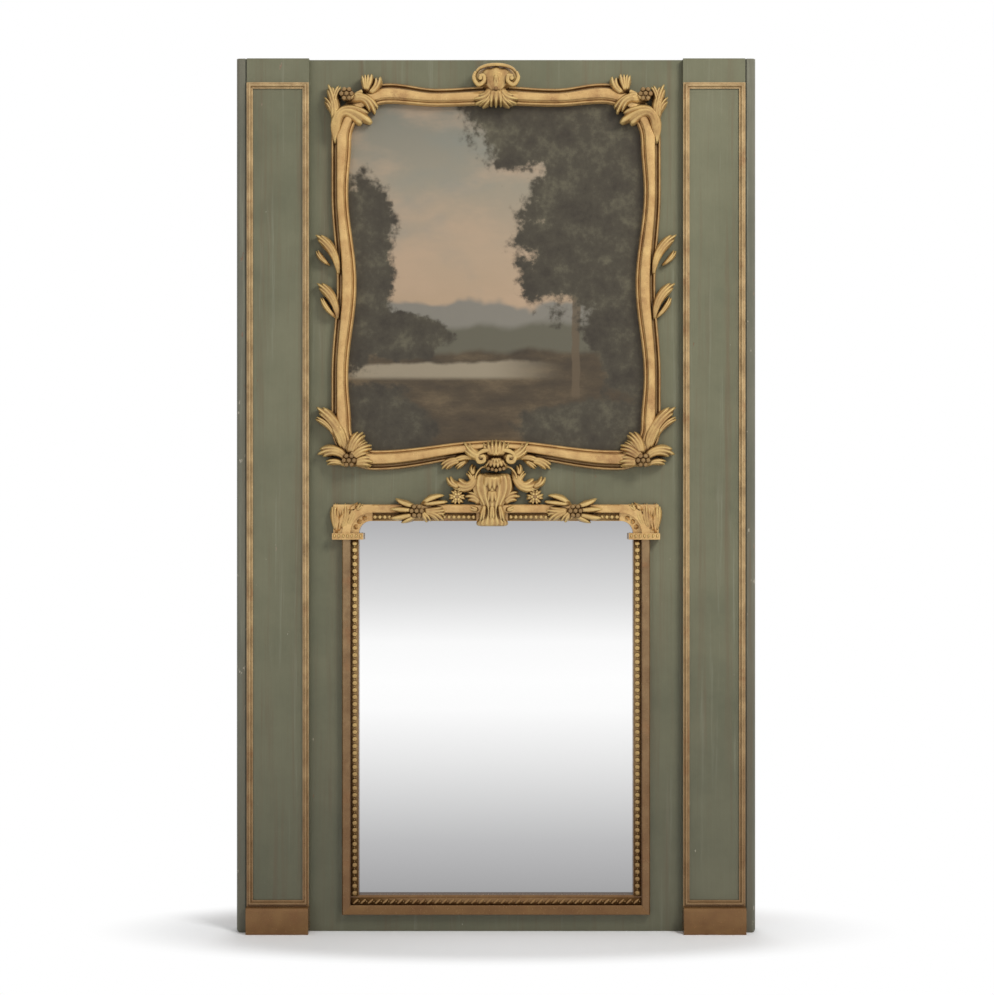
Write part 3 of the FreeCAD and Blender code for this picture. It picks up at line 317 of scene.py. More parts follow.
def bare_wood(name, along):
    """Bare, darkened wood with its grain along X or Z."""
    s = Shader(name)
    stretch = (3, 60, 60) if along == "X" else (60, 60, 3)
    grain = s.noise(1.0, 8.0, 0.65, s.stretched(*stretch), 0.6)
    colour = s.ramp(grain, [
        (0.3, tint(88, 66, 44)),
        (0.5, tint(128, 100, 70)),
        (0.7, tint(152, 124, 90)),
    ])
    stains = s.step(s.noise(5.0), 0.5, 0.7)
    colour = s.cover(colour, stains, 0.4, tint(70, 52, 36))
    s.set(Base_Color=colour, Roughness=0.78)
    s.bump(grain, 0.4, 0.6)
    return s.material


def forged_iron(name):
    s = Shader(name)
    scale = s.noise(180, 6.0, 0.7)
    colour = s.ramp(scale, [(0.35, tint(44, 38, 34)), (0.6, tint(70, 60, 52)), (0.75, tint(112, 70, 44))])
    s.set(Base_Color=colour, Metallic=0.7, Roughness=0.62)
    s.bump(scale, 0.5, 0.3)
    return s.material


def mirror_plate(name):
    """A silvered plate with fine specks, whose tint holds a painted reflection: bright across the middle,
    darker towards its head and foot.
    """
    s = Shader(name)
    low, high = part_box("mirror_glass")
    # Painted reflection: the plate's brightness by height is painted into its tint.
    painted_reflection = s.ramp(s.share(s.height(), low.z, high.z), [
        (0.0, tint(158, 158, 159)),
        (0.16, tint(188, 188, 189)),
        (0.36, tint(230, 230, 230)),
        (0.5, tint(252, 252, 252)),
        (0.57, tint(254, 254, 254)),
        (0.67, tint(250, 250, 250)),
        (0.78, tint(222, 222, 222)),
        (1.0, tint(172, 172, 174)),
    ])
    specks = s.step(s.noise(120, 4.0, 0.7), 0.73, 0.76)
    colour = s.cover(painted_reflection, specks, 0.12, tint(120, 116, 108))
    s.set(Base_Color=colour, Metallic=1.0, Roughness=0.035)
    return s.material


def old_picture(name):
    """A generic landscape in old oils: groves, hills, water and a pale sky under brown varnish."""
    s = Shader(name)
    low, high = PICTURE_LOW * MM, PICTURE_HIGH * MM
    parts = s.add("SeparateXYZ", [(0, s.place)])
    u = s.share(parts.outputs["X"], low.x, high.x)
    v = s.share(parts.outputs["Z"], low.z, high.z)
    broad = s.noise(5.5, 5.0, 0.6)
    tufts = s.noise(22, 7.0, 0.72)

    def under(level, rough, amount, soft):
        """The mask below a level that a noise makes uneven."""
        edge = s.math("SUBTRACT", s.math("ADD", v, s.math("MULTIPLY", rough, amount)), level + amount / 2)
        return s.fall(edge, -soft, soft)

    def grove(centre, size, rough=0.55):
        """The mask of a clump of foliage."""
        wide = s.math("DIVIDE", s.math("SUBTRACT", u, centre[0]), size[0])
        tall = s.math("DIVIDE", s.math("SUBTRACT", v, centre[1]), size[1])
        reach = s.math("SQRT", s.math("ADD", s.math("POWER", wide, 2.0), s.math("POWER", tall, 2.0)))
        reach = s.math("ADD", reach, s.math("MULTIPLY", s.math("SUBTRACT", broad, 0.5), rough * 1.6))
        reach = s.math("ADD", reach, s.math("MULTIPLY", s.math("SUBTRACT", tufts, 0.5), rough * 1.3))
        return s.fall(reach, 0.88, 1.06)

    sky = s.ramp(v, [
        (0.34, tint(188, 160, 130)),
        (0.55, tint(186, 163, 137)),
        (0.75, tint(158, 150, 132)),
        (1.0, tint(124, 126, 116)),
    ])
    clouds = s.step(s.noise(3.6, 5.0, 0.6, s.stretched(1, 1, 2.1)), 0.42, 0.66)
    colour = s.cover(sky, clouds, 0.6, tint(196, 168, 140))
    blue = s.step(s.noise(2.7, 4.0, 0.55, s.stretched(1.2, 1, 1.9)), 0.52, 0.7)
    colour = s.cover(colour, blue, 0.55, tint(132, 140, 134))
    colour = s.mix(under(0.43, s.noise(7, 3.0), 0.16, 0.01), colour, tint(134, 130, 120))
    colour = s.mix(under(0.36, s.noise(4, 4.0), 0.12, 0.012), colour, tint(98, 96, 82))
    land = s.ramp(s.noise(9, 7.0, 0.68, s.stretched(1, 1, 2.6)), [
        (0.3, tint(50, 43, 36)),
        (0.5, tint(76, 65, 50)),
        (0.72, tint(112, 96, 73)),
    ])
    colour = s.mix(under(0.29, s.noise(5, 4.0), 0.1, 0.01), colour, land)
    water = s.math("MULTIPLY", under(0.255, broad, 0.05, 0.006), s.step(v, 0.205, 0.222))
    colour = s.cover(colour, water, s.step(u, 0.75, 0.45), tint(158, 146, 124))
    trunk = s.math("ABSOLUTE", s.math("SUBTRACT", u, s.math("ADD", 0.745, s.math("MULTIPLY", broad, 0.05))))
    trunk = s.math("MULTIPLY", s.fall(trunk, 0.011, 0.017), s.step(v, 0.15, 0.17))
    trunk = s.math("MULTIPLY", trunk, s.fall(v, 0.7, 0.8))
    colour = s.cover(colour, trunk, 0.85, tint(98, 84, 66))
    leaves = s.ramp(tufts, [(0.34, tint(46, 43, 38)), (0.52, tint(66, 63, 53)), (0.72, tint(104, 100, 82))])
    for centre, size in (
        ((0.9, 0.74), (0.34, 0.4)),
        ((1.02, 0.36), (0.2, 0.24)),
        ((0.66, 0.93), (0.26, 0.17)),
        ((0.02, 0.5), (0.15, 0.28)),
        ((0.17, 0.33), (0.17, 0.07)),
        ((0.0, 0.08), (0.3, 0.13)),
        ((0.86, 0.07), (0.3, 0.09)),
    ):
        colour = s.mix(grove(centre, size), colour, leaves)
    colour = s.mix(0.16, colour, tint(92, 76, 52))
    linen = s.ramp(broad, [(0.3, tint(112, 92, 66)), (0.7, tint(148, 126, 94))])
    colour = s.mix(s.unseen_side(), colour, linen)
    s.set(Base_Color=colour, Roughness=0.62)
    cracks = s.add("TexVoronoi", [("Vector", s.place), ("Scale", 130)], feature="DISTANCE_TO_EDGE")
    weave = s.add("TexWave", [("Vector", s.place), ("Scale", 260), ("Distortion", 1.5)])
    fine = s.math("ADD", s.math("MULTIPLY", s.step(cracks.outputs["Distance"], 0.0, 0.05), 0.5), tufts)
    s.bump(s.math("ADD", fine, s.math("MULTIPLY", weave.outputs["Fac"], 0.25)), 0.3, 0.4)
    return s.material


def plain_floor(name):
    """A pale floor that holds the object's shadow, and turns plain white further out."""
    s = Shader(name)
    mottle = s.ramp(s.noise(2.0), [(0.0, tint(250, 250, 250)), (1.0, tint(253, 253, 253))])
    s.set(Base_Color=mottle, Roughness=0.9)
    reach = s.add("VectorMath", [(0, s.stretched(1, 3, 1))], operation="LENGTH").outputs["Value"]
    path = s.add("LightPath")
    seen = s.math("MAXIMUM", path.outputs["Is Camera Ray"], path.outputs["Is Glossy Ray"])
    white = s.add("Emission", [("Color", (1, 1, 1, 1)), ("Strength", 1.0)])
    far = s.math("MULTIPLY", s.step(reach, 0.56, 0.86), seen)
    both_looks = s.add("MixShader", [(0, far), (1, s.principled.outputs[0]), (2, white.outputs[0])])
    s.give(s.tree.nodes["Material Output"].inputs["Surface"], both_looks.outputs[0])
    return s.material


GOLD_LIGHT = tint(226, 188, 124)
GOLD_MID = tint(194, 152, 96)
GOLD_DARK = tint(122, 82, 48)

PAINT = worn_paint("paint", (116, 115, 92), 0.0)
EDGE_PAINT = worn_paint("edge_paint", (114, 112, 97), 0.05)
GILT = gilding("gilt", GOLD_LIGHT, GOLD_MID, GOLD_DARK)
STRIP_GILT = gilding("strip_gilt", tint(208, 178, 130), tint(162, 134, 94), tint(96, 78, 52))
SIDE_GILT = gilding("side_gilt", tint(160, 132, 94), tint(126, 98, 66), tint(86, 58, 36))
CARVED_GILT = gilding("carved_gilt", tint(216, 180, 114), tint(176, 136, 84), tint(112, 74, 42), True)
# Duller, darker gilding: the real duller gilt of berries and knobs, and painted shade on the frame's bead
# flanks, in its groove and between the pearls.
DULL_AND_SHADED_GILT = gilding("dull_and_shaded_gilt", tint(170, 138, 90), tint(138, 108, 68), tint(94, 70, 42))
RUBBED_GILT = gilding("rubbed_gilt", tint(172, 136, 84), tint(132, 98, 60), tint(92, 62, 34))
WOOD_ACROSS = bare_wood("wood_across", "X")
WOOD_UP = bare_wood("wood_up", "Z")
IRON = forged_iron("iron")
MIRROR = mirror_plate("mirror_silver")
PICTURE = old_picture("picture_paint")
FLOOR = plain_floor("floor")


# ---------------------------------------------------------------- CAD nodes that stay

NODE_MATERIALS = {
    "stile": PAINT,
    "bottom_rail": PAINT,
    "middle_rail": PAINT,
    "top_rail": PAINT,
    "pilaster": PAINT,
    "edge_moulding": EDGE_PAINT,
    "pilaster_moulding": STRIP_GILT,
    "plinth_block": RUBBED_GILT,
    "mirror_frame": GILT,
    "mirror_frame_left": SIDE_GILT,
    "mirror_frame_right": SIDE_GILT,
    "mirror_frame_bottom": RUBBED_GILT,
    "corner_block": GILT,
    "back_batten": WOOD_ACROSS,
    "stretcher": WOOD_ACROSS,
    "stretcher_left": WOOD_UP,
    "stretcher_right": WOOD_UP,
    "mirror_backing": WOOD_UP,
    "retaining_blocks": WOOD_UP,
    "batten_nails": IRON,
    "canvas_tacks": IRON,
    "hanger": IRON,
    "mirror_glass": MIRROR,
}
BEVELS = {
    "stile": 0.7,
    "bottom_rail": 0.7,
    "middle_rail": 0.7,
    "top_rail": 0.7,
    "pilaster": 1.0,
    "pilaster_moulding": 0.5,
    "edge_moulding": 0.8,
    "plinth_block": 1.5,
    "mirror_frame": 0.9,
    "corner_block": 0.9,
    "back_batten": 1.0,
}
BEVEL_SEGMENTS = 2
BEVEL_ANGLE = 25


def chosen(table, name):
    """The entry with the longest key that the name starts with."""
    keys = [key for key in table if name.startswith(key)]
    return table[max(keys, key=len)] if keys else None


def dress_nodes():
    """Gives each CAD node that stays its material, and its sharp edges a little wear."""
    for name, node in nodes.items():
        material = chosen(NODE_MATERIALS, name)
        if material is None:
            continue
        node.data.materials.clear()
        node.data.materials.append(material)
        width = chosen(BEVELS, name)
        if width:
            bevel = node.modifiers.new("worn edges", "BEVEL")
            bevel.width = width * MM
            bevel.segments = BEVEL_SEGMENTS
            bevel.limit_method = "ANGLE"
            bevel.angle_limit = math.radians(BEVEL_ANGLE)
            bevel.harden_normals = False


# ---------------------------------------------------------------- carving

def spot(x, z, rise):
    """A place on or in front of the carcass boards, in metres."""
    return Vector((x * MM, (FRONT - rise) * MM, z * MM))


def grid(bm, rows, closed=False):
    """Faces between rows of vertices."""
    for lower, upper in zip(rows, rows[1:]):
        count = len(lower)
        for i in range(count if closed else count - 1):
            j = (i + 1) % count
            bm.faces.new((lower[i], lower[j], upper[j], upper[i]))


def outline(rows):
    """The border of a grid, once round."""
    return [row[0] for row in rows] + rows[-1][1:] + [row[-1] for row in rows[-2::-1]] + rows[0][-2:0:-1]


def leaf(bm, base, tip, width, bend, rise, strands=3, point=0.8, neck=0.3):
    """A carved leaf of strands side by side, each with a rounded crest and tip, the outer ones shorter.

    The point is how far a strand's tip stands out from its sides, by the strand's width, and the
    neck is how wide the leaf starts, by its full width.
    """
    length = math.dist(base, tip)
    along = ((tip[0] - base[0]) / length, (tip[1] - base[1]) / length)
    columns = strands * STRAND_STEPS
    depth = min(DEEPEST_GROOVE, 0.3 * width / strands)
    notch = min(DEEPEST_NOTCH, point * width / strands / length)
    rows = []
    for i in range(LEAF_STEPS + 1):
        share = i / LEAF_STEPS
        swell = math.sin(math.pi * min(1.0, 0.2 + 0.66 * share))
        lift = rise * (0.72 + 0.28 * swell) * (1 - 0.4 * share ** 7)
        lift *= 0.5 + 0.5 * math.sin(math.pi / 2 * min(1.0, 3 * share))
        row = []
        for j in range(columns + 1):
            v = 2 * j / columns - 1
            in_strand = (j % STRAND_STEPS) / STRAND_STEPS * 2 - 1
            reach = (1 - 0.24 * abs(v) ** 1.8) * (1 - notch * abs(in_strand) ** 1.8)
            u = reach * share
            half = width / 2 * (neck + (1 - neck) * math.sin(math.pi / 2 * min(1.0, 1.5 * u)))
            half *= 1 + 0.15 * abs(v) * share ** 4
            aside = bend * 4 * u * (1 - u) + half * v
            run = length * u - bend * 4 * (1 - 2 * u) / length * half * v
            crest = math.sqrt(1 - 0.88 * in_strand * in_strand)
            height = lift * (1 - 0.22 * v * v) - depth * (1 - crest) * (0.6 + 0.4 * share)
            x = base[0] + along[0] * run - along[1] * aside
            z = base[1] + along[1] * run + along[0] * aside
            row.append((x, z, max(1.0, height)))
        rows.append(row)
    made = [[bm.verts.new(spot(*place)) for place in row] for row in rows]
    grid(bm, made)
    border = outline(rows)
    middle_x = sum(place[0] for place in border) / len(border)
    middle_z = sum(place[1] for place in border) / len(border)
    seat = []
    for x, z, _ in border:
        seat_x = middle_x + (x - middle_x) * SEAT_SHARE
        seat_z = middle_z + (z - middle_z) * SEAT_SHARE
        seat.append(bm.verts.new(spot(seat_x, seat_z, 0)))
    grid(bm, [outline(made), seat], closed=True)


def ball(bm, x, z, radius, rise, flatten=1.0, around=BALL_SIDES, dull_and_shaded=0):
    """A berry or pearl whose front stands at the given rise, in the carving's gilding or its duller one."""
    first = len(bm.faces)
    rings = []
    for i in range(1, BALL_RINGS + 1):
        angle = math.pi / 2 * i / BALL_RINGS
        ring = []
        for k in range(around):
            turn = math.tau * k / around
            reach = radius * math.sin(angle)
            height = rise - radius * flatten * (1 - math.cos(angle))
            ring.append(bm.verts.new(spot(x + reach * math.cos(turn), z + reach * math.sin(turn), height)))
        rings.append(ring)
    foot = [bm.verts.new(vertex.co + Vector((0, radius * MM, 0))) for vertex in rings[-1]]
    rings.append(foot)
    grid(bm, rings, closed=True)
    peak = bm.verts.new(spot(x, z, rise))
    for k in range(around):
        bm.faces.new((peak, rings[0][k], rings[0][(k + 1) % around]))
    for face in list(bm.faces)[first:]:
        face.material_index = dull_and_shaded


def between(t, p, q, r, w):
    """A number between q and r, on the smooth curve that also passes p and w."""
    square = 2 * p - 5 * q + 4 * r - w
    cube = 3 * q - p - 3 * r + w
    return 0.5 * (2 * q + (r - p) * t + square * t * t + cube * t ** 3)


def smooth_route(points, steps=ROUTE_STEPS):
    """A smooth line through points, whose every number is eased from one point to the next."""
    route = []
    padded = [points[0]] + list(points) + [points[-1]]
    for a, b, c, d in zip(padded, padded[1:], padded[2:], padded[3:]):
        for i in range(steps):
            route.append([between(i / steps, *four) for four in zip(a, b, c, d)])
    route.append(list(points[-1]))
    return route


def stem(bm, points):
    """A rounded stem or scroll along points of (x, z, radius, rise)."""
    route = smooth_route(points)
    rings = []
    for i, (x, z, radius, rise) in enumerate(route):
        before = route[max(0, i - 1)]
        after = route[min(len(route) - 1, i + 1)]
        run = max(1e-6, math.dist(before[:2], after[:2]))
        side = (-(after[1] - before[1]) / run, (after[0] - before[0]) / run)
        ring = []
        for k in range(STEM_SIDES + 1):
            turn = math.pi * k / STEM_SIDES
            aside = radius * math.cos(turn)
            height = rise - radius + radius * math.sin(turn)
            ring.append(bm.verts.new(spot(x + side[0] * aside, z + side[1] * aside, height)))
        ring.append(bm.verts.new(spot(x - side[0] * radius, z - side[1] * radius, rise - 2 * radius)))
        ring.append(bm.verts.new(spot(x + side[0] * radius, z + side[1] * radius, rise - 2 * radius)))
        rings.append(ring)
    grid(bm, rings, closed=True)
    bm.faces.new(rings[0])
    bm.faces.new(rings[-1])


def fan(bm, centre, reach, first, last, count, width, rise, strands=1):
    """Leaves spread evenly about a centre, between two angles from straight up."""
    for i in range(count):
        angle = math.radians(first + (last - first) * i / (count - 1))
        tip = (centre[0] + reach * math.sin(angle), centre[1] + reach * math.cos(angle))
        leaf(bm, centre, tip, width, 0, rise, strands)


def flower(bm, x, z, radius, rise):
    """A small flower of two rings of petals round a knob."""
    fan(bm, (x, z), radius, 0, 300, 6, radius * 0.95, rise - 3, 2)
    fan(bm, (x, z), radius * 0.66, 30, 330, 6, radius * 0.62, rise)
    ball(bm, x, z, radius * 0.26, rise + 1, dull_and_shaded=1)


def berries(bm, x, z, rise):
    """Six berries round a seventh."""
    count = 6
    spread = 10
    ball(bm, x, z, 5, rise + 1, dull_and_shaded=1)
    for i in range(count):
        turn = math.tau * i / count
        ball(bm, x + spread * math.cos(turn), z + spread * math.sin(turn), 5.2, rise - 1, dull_and_shaded=1)


def fluted(bm, levels, flutes, depth):
    """A fluted body with its half width and rise at levels from the top down."""
    around = flutes * FLUTE_SIDES
    rings = []
    for z, half, rise in smooth_route(levels, FLUTE_ROUTE_STEPS):
        ring = []
        for k in range(around + 1):
            angle = math.pi * k / around
            flute = 1 - depth * (1 - abs(math.sin(angle * flutes)))
            height = rise * math.sin(angle) ** 0.8 * flute
            ring.append(bm.verts.new(spot(half * math.cos(angle), z, height)))
        rings.append(ring)
    grid(bm, rings)
    for ring, way in ((rings[0], 1), (rings[-1], -1)):
        middle = bm.verts.new(ring[0].co.lerp(ring[-1].co, 0.5))
        for a, b in zip(ring, ring[1:]):
            bm.faces.new((middle, a, b))


def shape(build, *details):
    """The mesh that a carving function makes."""
    bm = bmesh.new()
    build(bm, *details)
    bmesh.ops.recalc_face_normals(bm, faces=bm.faces)
    return bm


def piece(name, bm, material, replaced=(), origin=(0, 0), mirror=False, materials=()):
    """An object of the gilt carving, moved to its origin, that rides on the panel."""
    for vertex in bm.verts:
        vertex.co.x += origin[0] * MM
        vertex.co.z += origin[1] * MM
        if mirror:
            vertex.co.x = -vertex.co.x
    if mirror:
        bmesh.ops.reverse_faces(bm, faces=bm.faces)
    mesh = bpy.data.meshes.new(name)
    bm.to_mesh(mesh)
    mesh.shade_smooth()
    for each in (material, *materials):
        mesh.materials.append(each)
    made = bpy.data.objects.new(name, mesh)
    bpy.context.scene.collection.objects.link(made)
    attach(made, "panel")
    if replaced:
        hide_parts(*replaced)
    return made


def pair(name, build, node, origin):
    """A carving on the right, and its mirror image on the left."""
    for side, flip in SIDES:
        replaced = [node + "_" + side] if node else []
        piece(name + "_" + side, shape(build), CARVED_GILT, replaced, origin, flip, [DULL_AND_SHADED_GILT])


def top_spray(bm):
    """Leaves and berries round the frame's upper right corner, from that corner."""
    stem(bm, [(-38, -38, 4, 33), (-54, -27, 4, 33), (-66, -22, 5, 33)])
    leaf(bm, (-70, -26), (-66, 18), 16, 3, 33, 2)
    leaf(bm, (-70, -26), (-80, 20), 18, 4, 34, 2)
    leaf(bm, (-70, -26), (-96, 15), 18, 12, 33, 2)
    leaf(bm, (-10, -92), (-20, -4), 17, -8, 33, 2)
    leaf(bm, (-10, -100), (6, -4), 22, 8, 34, 3)
    leaf(bm, (-8, -92), (14, -30), 19, 9, 31, 3)
    leaf(bm, (-11, -126), (-86, -84), 24, -48, 37, 3, 0.8, 0.12)
    leaf(bm, (-34, -44), (-92, -66), 21, -20, 39, 3)
    leaf(bm, (-40, -34), (-78, -46), 17, -10, 37, 2)
    ball(bm, -34, -27, 13, 33, 0.5, dull_and_shaded=1)
    berries(bm, -34, -27, 38)


def bottom_spray(bm):
    """Leaves and berries round the frame's lower right corner, from that corner."""
    leaf(bm, (-34, 26), (30, 130), 25, 15, 32, 3)
    leaf(bm, (-24, 36), (8, 108), 18, 7, 31, 2)
    leaf(bm, (-10, 66), (34, 108), 14, 8, 29, 2)
    leaf(bm, (-42, 12), (28, 32), 22, 18, 31, 3)
    leaf(bm, (-34, 8), (12, 14), 15, 7, 28, 2)
    leaf(bm, (-42, 12), (-92, 16), 26, -5, 36, 3, 0.8, 0.4)
    leaf(bm, (-40, 16), (-86, 48), 28, -8, 38, 4, 0.8, 0.4)
    leaf(bm, (-44, 24), (-70, 76), 28, -8, 38, 4, 0.8, 0.4)
    berries(bm, -39, 20, 40)


def sprigs(bm):
    """Two small leaf sprigs beside the middle of the frame's upright."""
    leaf(bm, (-16, 4), (32, 86), 20, 13, 27, 3)
    leaf(bm, (-16, 10), (10, 66), 14, 6, 24, 2)
    leaf(bm, (2, 24), (30, 56), 12, -4, 20, 2)
    leaf(bm, (-14, -88), (29, -14), 20, 12, 27, 3)
    leaf(bm, (-12, -86), (20, -40), 13, -4, 24, 2)
    leaf(bm, (-12, -80), (2, -36), 12, 4, 22, 2)


def both(bm, build):
    """A detail on each side of the middle."""
    for way in (1, -1):
        build(bm, way)


def shell(bm):
    """The cartouche over the top member: a domed shield between two volutes, with a palmette below."""
    fluted(bm, [
        (37, 20, 24),
        (34, 33, 30),
        (26, 41, 34),
        (14, 43, 36),
        (2, 35, 37),
        (-8, 24, 37),
        (-18, 16, 35),
        (-28, 12, 31),
    ], 5, 0.1)
    stem(bm, [
        (-44, 16, 2.5, 30),
        (-36, 29, 3, 33),
        (-20, 36, 3.5, 35),
        (0, 38, 3.5, 36),
        (20, 36, 3.5, 35),
        (36, 29, 3, 33),
        (44, 16, 2.5, 30),
    ])

    def half(bm, way):
        stem(bm, [
            (way * 42, 24, 3, 34),
            (way * 45, 10, 4.5, 38),
            (way * 36, -3, 4.5, 39),
            (way * 25, 3, 4.5, 41),
            (way * 26, 14, 4.5, 41),
            (way * 34, 13, 4, 41),
        ])
        ball(bm, way * 32, 9, 5, 42)
        leaf(bm, (way * 8, 0), (way * 50, -28), 22, way * -14, 37, 3)
        leaf(bm, (way * 10, -8), (way * 36, -42), 19, way * -8, 36, 3)

    both(bm, half)
    leaf(bm, (0, -6), (0, -47), 50, 0, 39, 5, 0.8, 0.3)
    leaf(bm, (0, 24), (0, -14), 16, 0, 40, 2, 0.8, 0.5)
    ball(bm, 0, -12, 4, 42, dull_and_shaded=1)


def cartouche(bm):
    """The palmette, scrolls and drooping leaves over the middle of the bottom member."""

    def half(bm, way):
        leaf(bm, (way * 4, 14), (way * 66, 42), 22, way * -15, 37, 3)
        stem(bm, [
            (way * 12, 24, 4, 36),
            (way * 26, 22, 5, 37),
            (way * 38, 12, 5, 37),
            (way * 35, 1, 5, 37),
            (way * 25, 2, 4.5, 38),
            (way * 25, 11, 4, 39),
            (way * 32, 11, 3.5, 40),
        ])
        leaf(bm, (way * 38, 6), (way * 94, -3), 15, way * 8, 24, 2)
        leaf(bm, (way * 66, 2), (way * 112, -15), 20, way * 8, 21, 3)
        leaf(bm, (way * 56, 4), (way * 84, -14), 13, way * 2, 20, 2)
        stem(bm, [
            (way * 16, -8, 2, 24),
            (way * 30, -12, 2, 20),
            (way * 40, -24, 2, 20),
            (way * 42, -34, 2, 22),
        ])

    leaf(bm, (0, 6), (0, 47), 54, 0, 40, 7, 0.8, 0.3)
    leaf(bm, (0, 8), (0, 34), 26, 0, 42, 3, 0.8, 0.4)
    both(bm, half)
    leaf(bm, (0, 10), (0, -20), 46, 0, 37, 6, 0.8, 0.6)
    leaf(bm, (0, 12), (0, -9), 26, 0, 40, 4, 0.8, 0.6)
    for x in (-16, -8, 0, 8, 16):
        ball(bm, x, -17 + abs(x) / 5, 4, 37, dull_and_shaded=1)


def vase(bm):
    """The fluted vase over the middle of the mirror frame, under layers of petals."""
    fluted(bm, [
        (64, 34, 22),
        (61, 40, 27),
        (52, 44, 31),
        (40, 46, 33),
        (28, 44, 33),
        (14, 37, 32),
        (0, 27, 31),
        (-12, 22, 29),
        (-22, 24, 28),
        (-32, 30, 28),
        (-38, 33, 26),
        (-43, 31, 22),
        (-45, 24, 14),
    ], 9, 0.14)
    leaf(bm, (0, 66), (0, 22), 38, 0, 40, 4, 0.8, 0.8)
    leaf(bm, (0, 36), (0, -4), 26, 0, 37, 3, 0.8, 0.6)
    leaf(bm, (0, 6), (0, -38), 16, 0, 34, 2)
    for way in (-1, 1):
        leaf(bm, (way * 12, 6), (way * 21, -40), 15, way * 2, 31, 2)
        leaf(bm, (way * 22, -4), (way * 58, 16), 22, way * 10, 22, 3)
        leaf(bm, (way * 24, -10), (way * 50, -2), 14, way * -3, 20, 2)


def scroll(bm):
    """The leafy scroll to the right of the vase, from the vase's middle, with the flower under it."""
    leaf(bm, (46, 72), (100, 50), 21, -25, 24, 3)
    leaf(bm, (50, 58), (52, 84), 14, -5, 21, 2)
    leaf(bm, (60, 40), (70, 68), 12, 6, 20, 2)
    leaf(bm, (78, 38), (106, 60), 15, -8, 23, 2)
    leaf(bm, (72, 44), (94, 28), 13, -4, 20, 2)
    flower(bm, 88, 16, 19, 20)


def garland(bm):
    """Leaves and berries over the mirror frame's top, to the right of the vase."""
    leaf(bm, (164, -4), (208, 13), 17, -3, 27, 1, 1.2)
    leaf(bm, (154, 0), (106, 19), 17, -4, 27, 1, 1.2)
    leaf(bm, (156, 0), (98, 6), 15, 0, 26, 1, 1.2)
    leaf(bm, (166, -12), (221, -9), 17, 0, 27, 1, 1.2)
    leaf(bm, (164, -18), (219, -28), 17, -2, 26, 1, 1.2)
    leaf(bm, (162, -22), (196, -38), 15, 0, 24, 1, 1.2)
    leaf(bm, (156, -12), (100, -10), 21, 3, 26, 3)
    leaf(bm, (156, -16), (108, -33), 22, -8, 26, 3)
    leaf(bm, (158, -14), (138, -38), 18, -4, 25, 2)
    berries(bm, 163, -13, 29)


def carve():
    pair("top_spray", top_spray, "corner_spray_top", (FRAME_X, FRAME_TOP))
    pair("bottom_spray", bottom_spray, "corner_spray_bottom", (FRAME_X, FRAME_BOTTOM))
    pair("sprig", sprigs, "side_sprigs", (FRAME_X, (FRAME_TOP + FRAME_BOTTOM) / 2))
    shell_place = (0, FRAME_TOP - TOP_DIP * TOP_RETURN)
    piece("shell", shape(shell), CARVED_GILT, ["shell_cartouche"], shell_place, materials=[DULL_AND_SHADED_GILT])
    cartouche_place = (0, FRAME_BOTTOM + CARTOUCHE_LIFT)
    bm = shape(cartouche)
    piece("palmette", bm, CARVED_GILT, ["lower_cartouche"], cartouche_place, materials=[DULL_AND_SHADED_GILT])
    piece("vase", shape(vase), CARVED_GILT, ["vase_crest"], (VASE_X, MIRROR_TOP))
    pair("scrollwork", scroll, "scroll", (VASE_X, MIRROR_TOP))
    pair("garland_leaves", garland, "garland", (0, MIRROR_TOP))


# ---------------------------------------------------------------- serpentine frame

def ease(share):
    """A smooth step from 0 to 1."""
    return (1 - math.cos(math.pi * share)) / 2


def side_edges(share):
    """The upright's outer and sight edge, by the share of the way from a corner to its middle."""
    if share < LOBE_SHARE:
        sway = 0
        narrowing = ease(share / LOBE_SHARE)
    else:
        sway = ease((share - LOBE_SHARE) / (1 - LOBE_SHARE))
        narrowing = 1 - sway
    outer = FRAME_X - SIDE_SWAY * sway
    return outer, outer - SERPENTINE_WIDTH + LOBE_NARROWING * narrowing


def corner_stations(centre, radius, first, last):
    """Stations round a corner, between two angles from +X."""
    stations = []
    for i in range(CORNER_STEPS + 1):
        angle = math.radians(first + (last - first) * i / CORNER_STEPS)
        way = (math.cos(angle), math.sin(angle))
        radii = (radius, radius - SERPENTINE_WIDTH)
        stations.append([(centre[0] + r * way[0], centre[1] + r * way[1]) for r in radii])
    return stations


def side_stations():
    """Stations down the right-hand upright, as pairs of outer and sight points."""
    high = FRAME_TOP - TOP_CORNER
    low = FRAME_BOTTOM + BOTTOM_CORNER
    stations = corner_stations((FRAME_X - TOP_CORNER, high), TOP_CORNER, 45, 0)
    for i in range(1, MEMBER_STEPS):
        share = i / MEMBER_STEPS
        z = high + (low - high) * share
        outer, inner = side_edges(1 - abs(1 - 2 * share))
        stations.append([(outer, z), (inner, z)])
    return stations + corner_stations((FRAME_X - BOTTOM_CORNER, low), BOTTOM_CORNER, 0, -45)


def cross_bow(share, bend, back):
    """How far a member has bowed by a share of the way to its middle: fully at the bend, then back."""
    if share < bend:
        return ease(share / bend)
    return 1 - back * ease((share - bend) / (1 - bend))


def cross_stations(level, way, corner, bow, swelling, bend, back):
    """Stations along the top or bottom member, whose way out from the sight is 1 or -1."""
    centre_x = FRAME_X - corner
    centre_z = level - way * corner
    stations = corner_stations((-centre_x, centre_z), corner, way * 135, way * 90)
    for i in range(1, MEMBER_STEPS):
        x = centre_x * (2 * i / MEMBER_STEPS - 1)
        share = cross_bow(1 - abs(x) / centre_x, bend, back)
        outer = level - way * bow * share
        inner = level - way * (SERPENTINE_WIDTH + (bow + swelling) * share)
        stations.append([(x, outer), (x, inner)])
    return stations + corner_stations((centre_x, centre_z), corner, way * 90, way * 45)


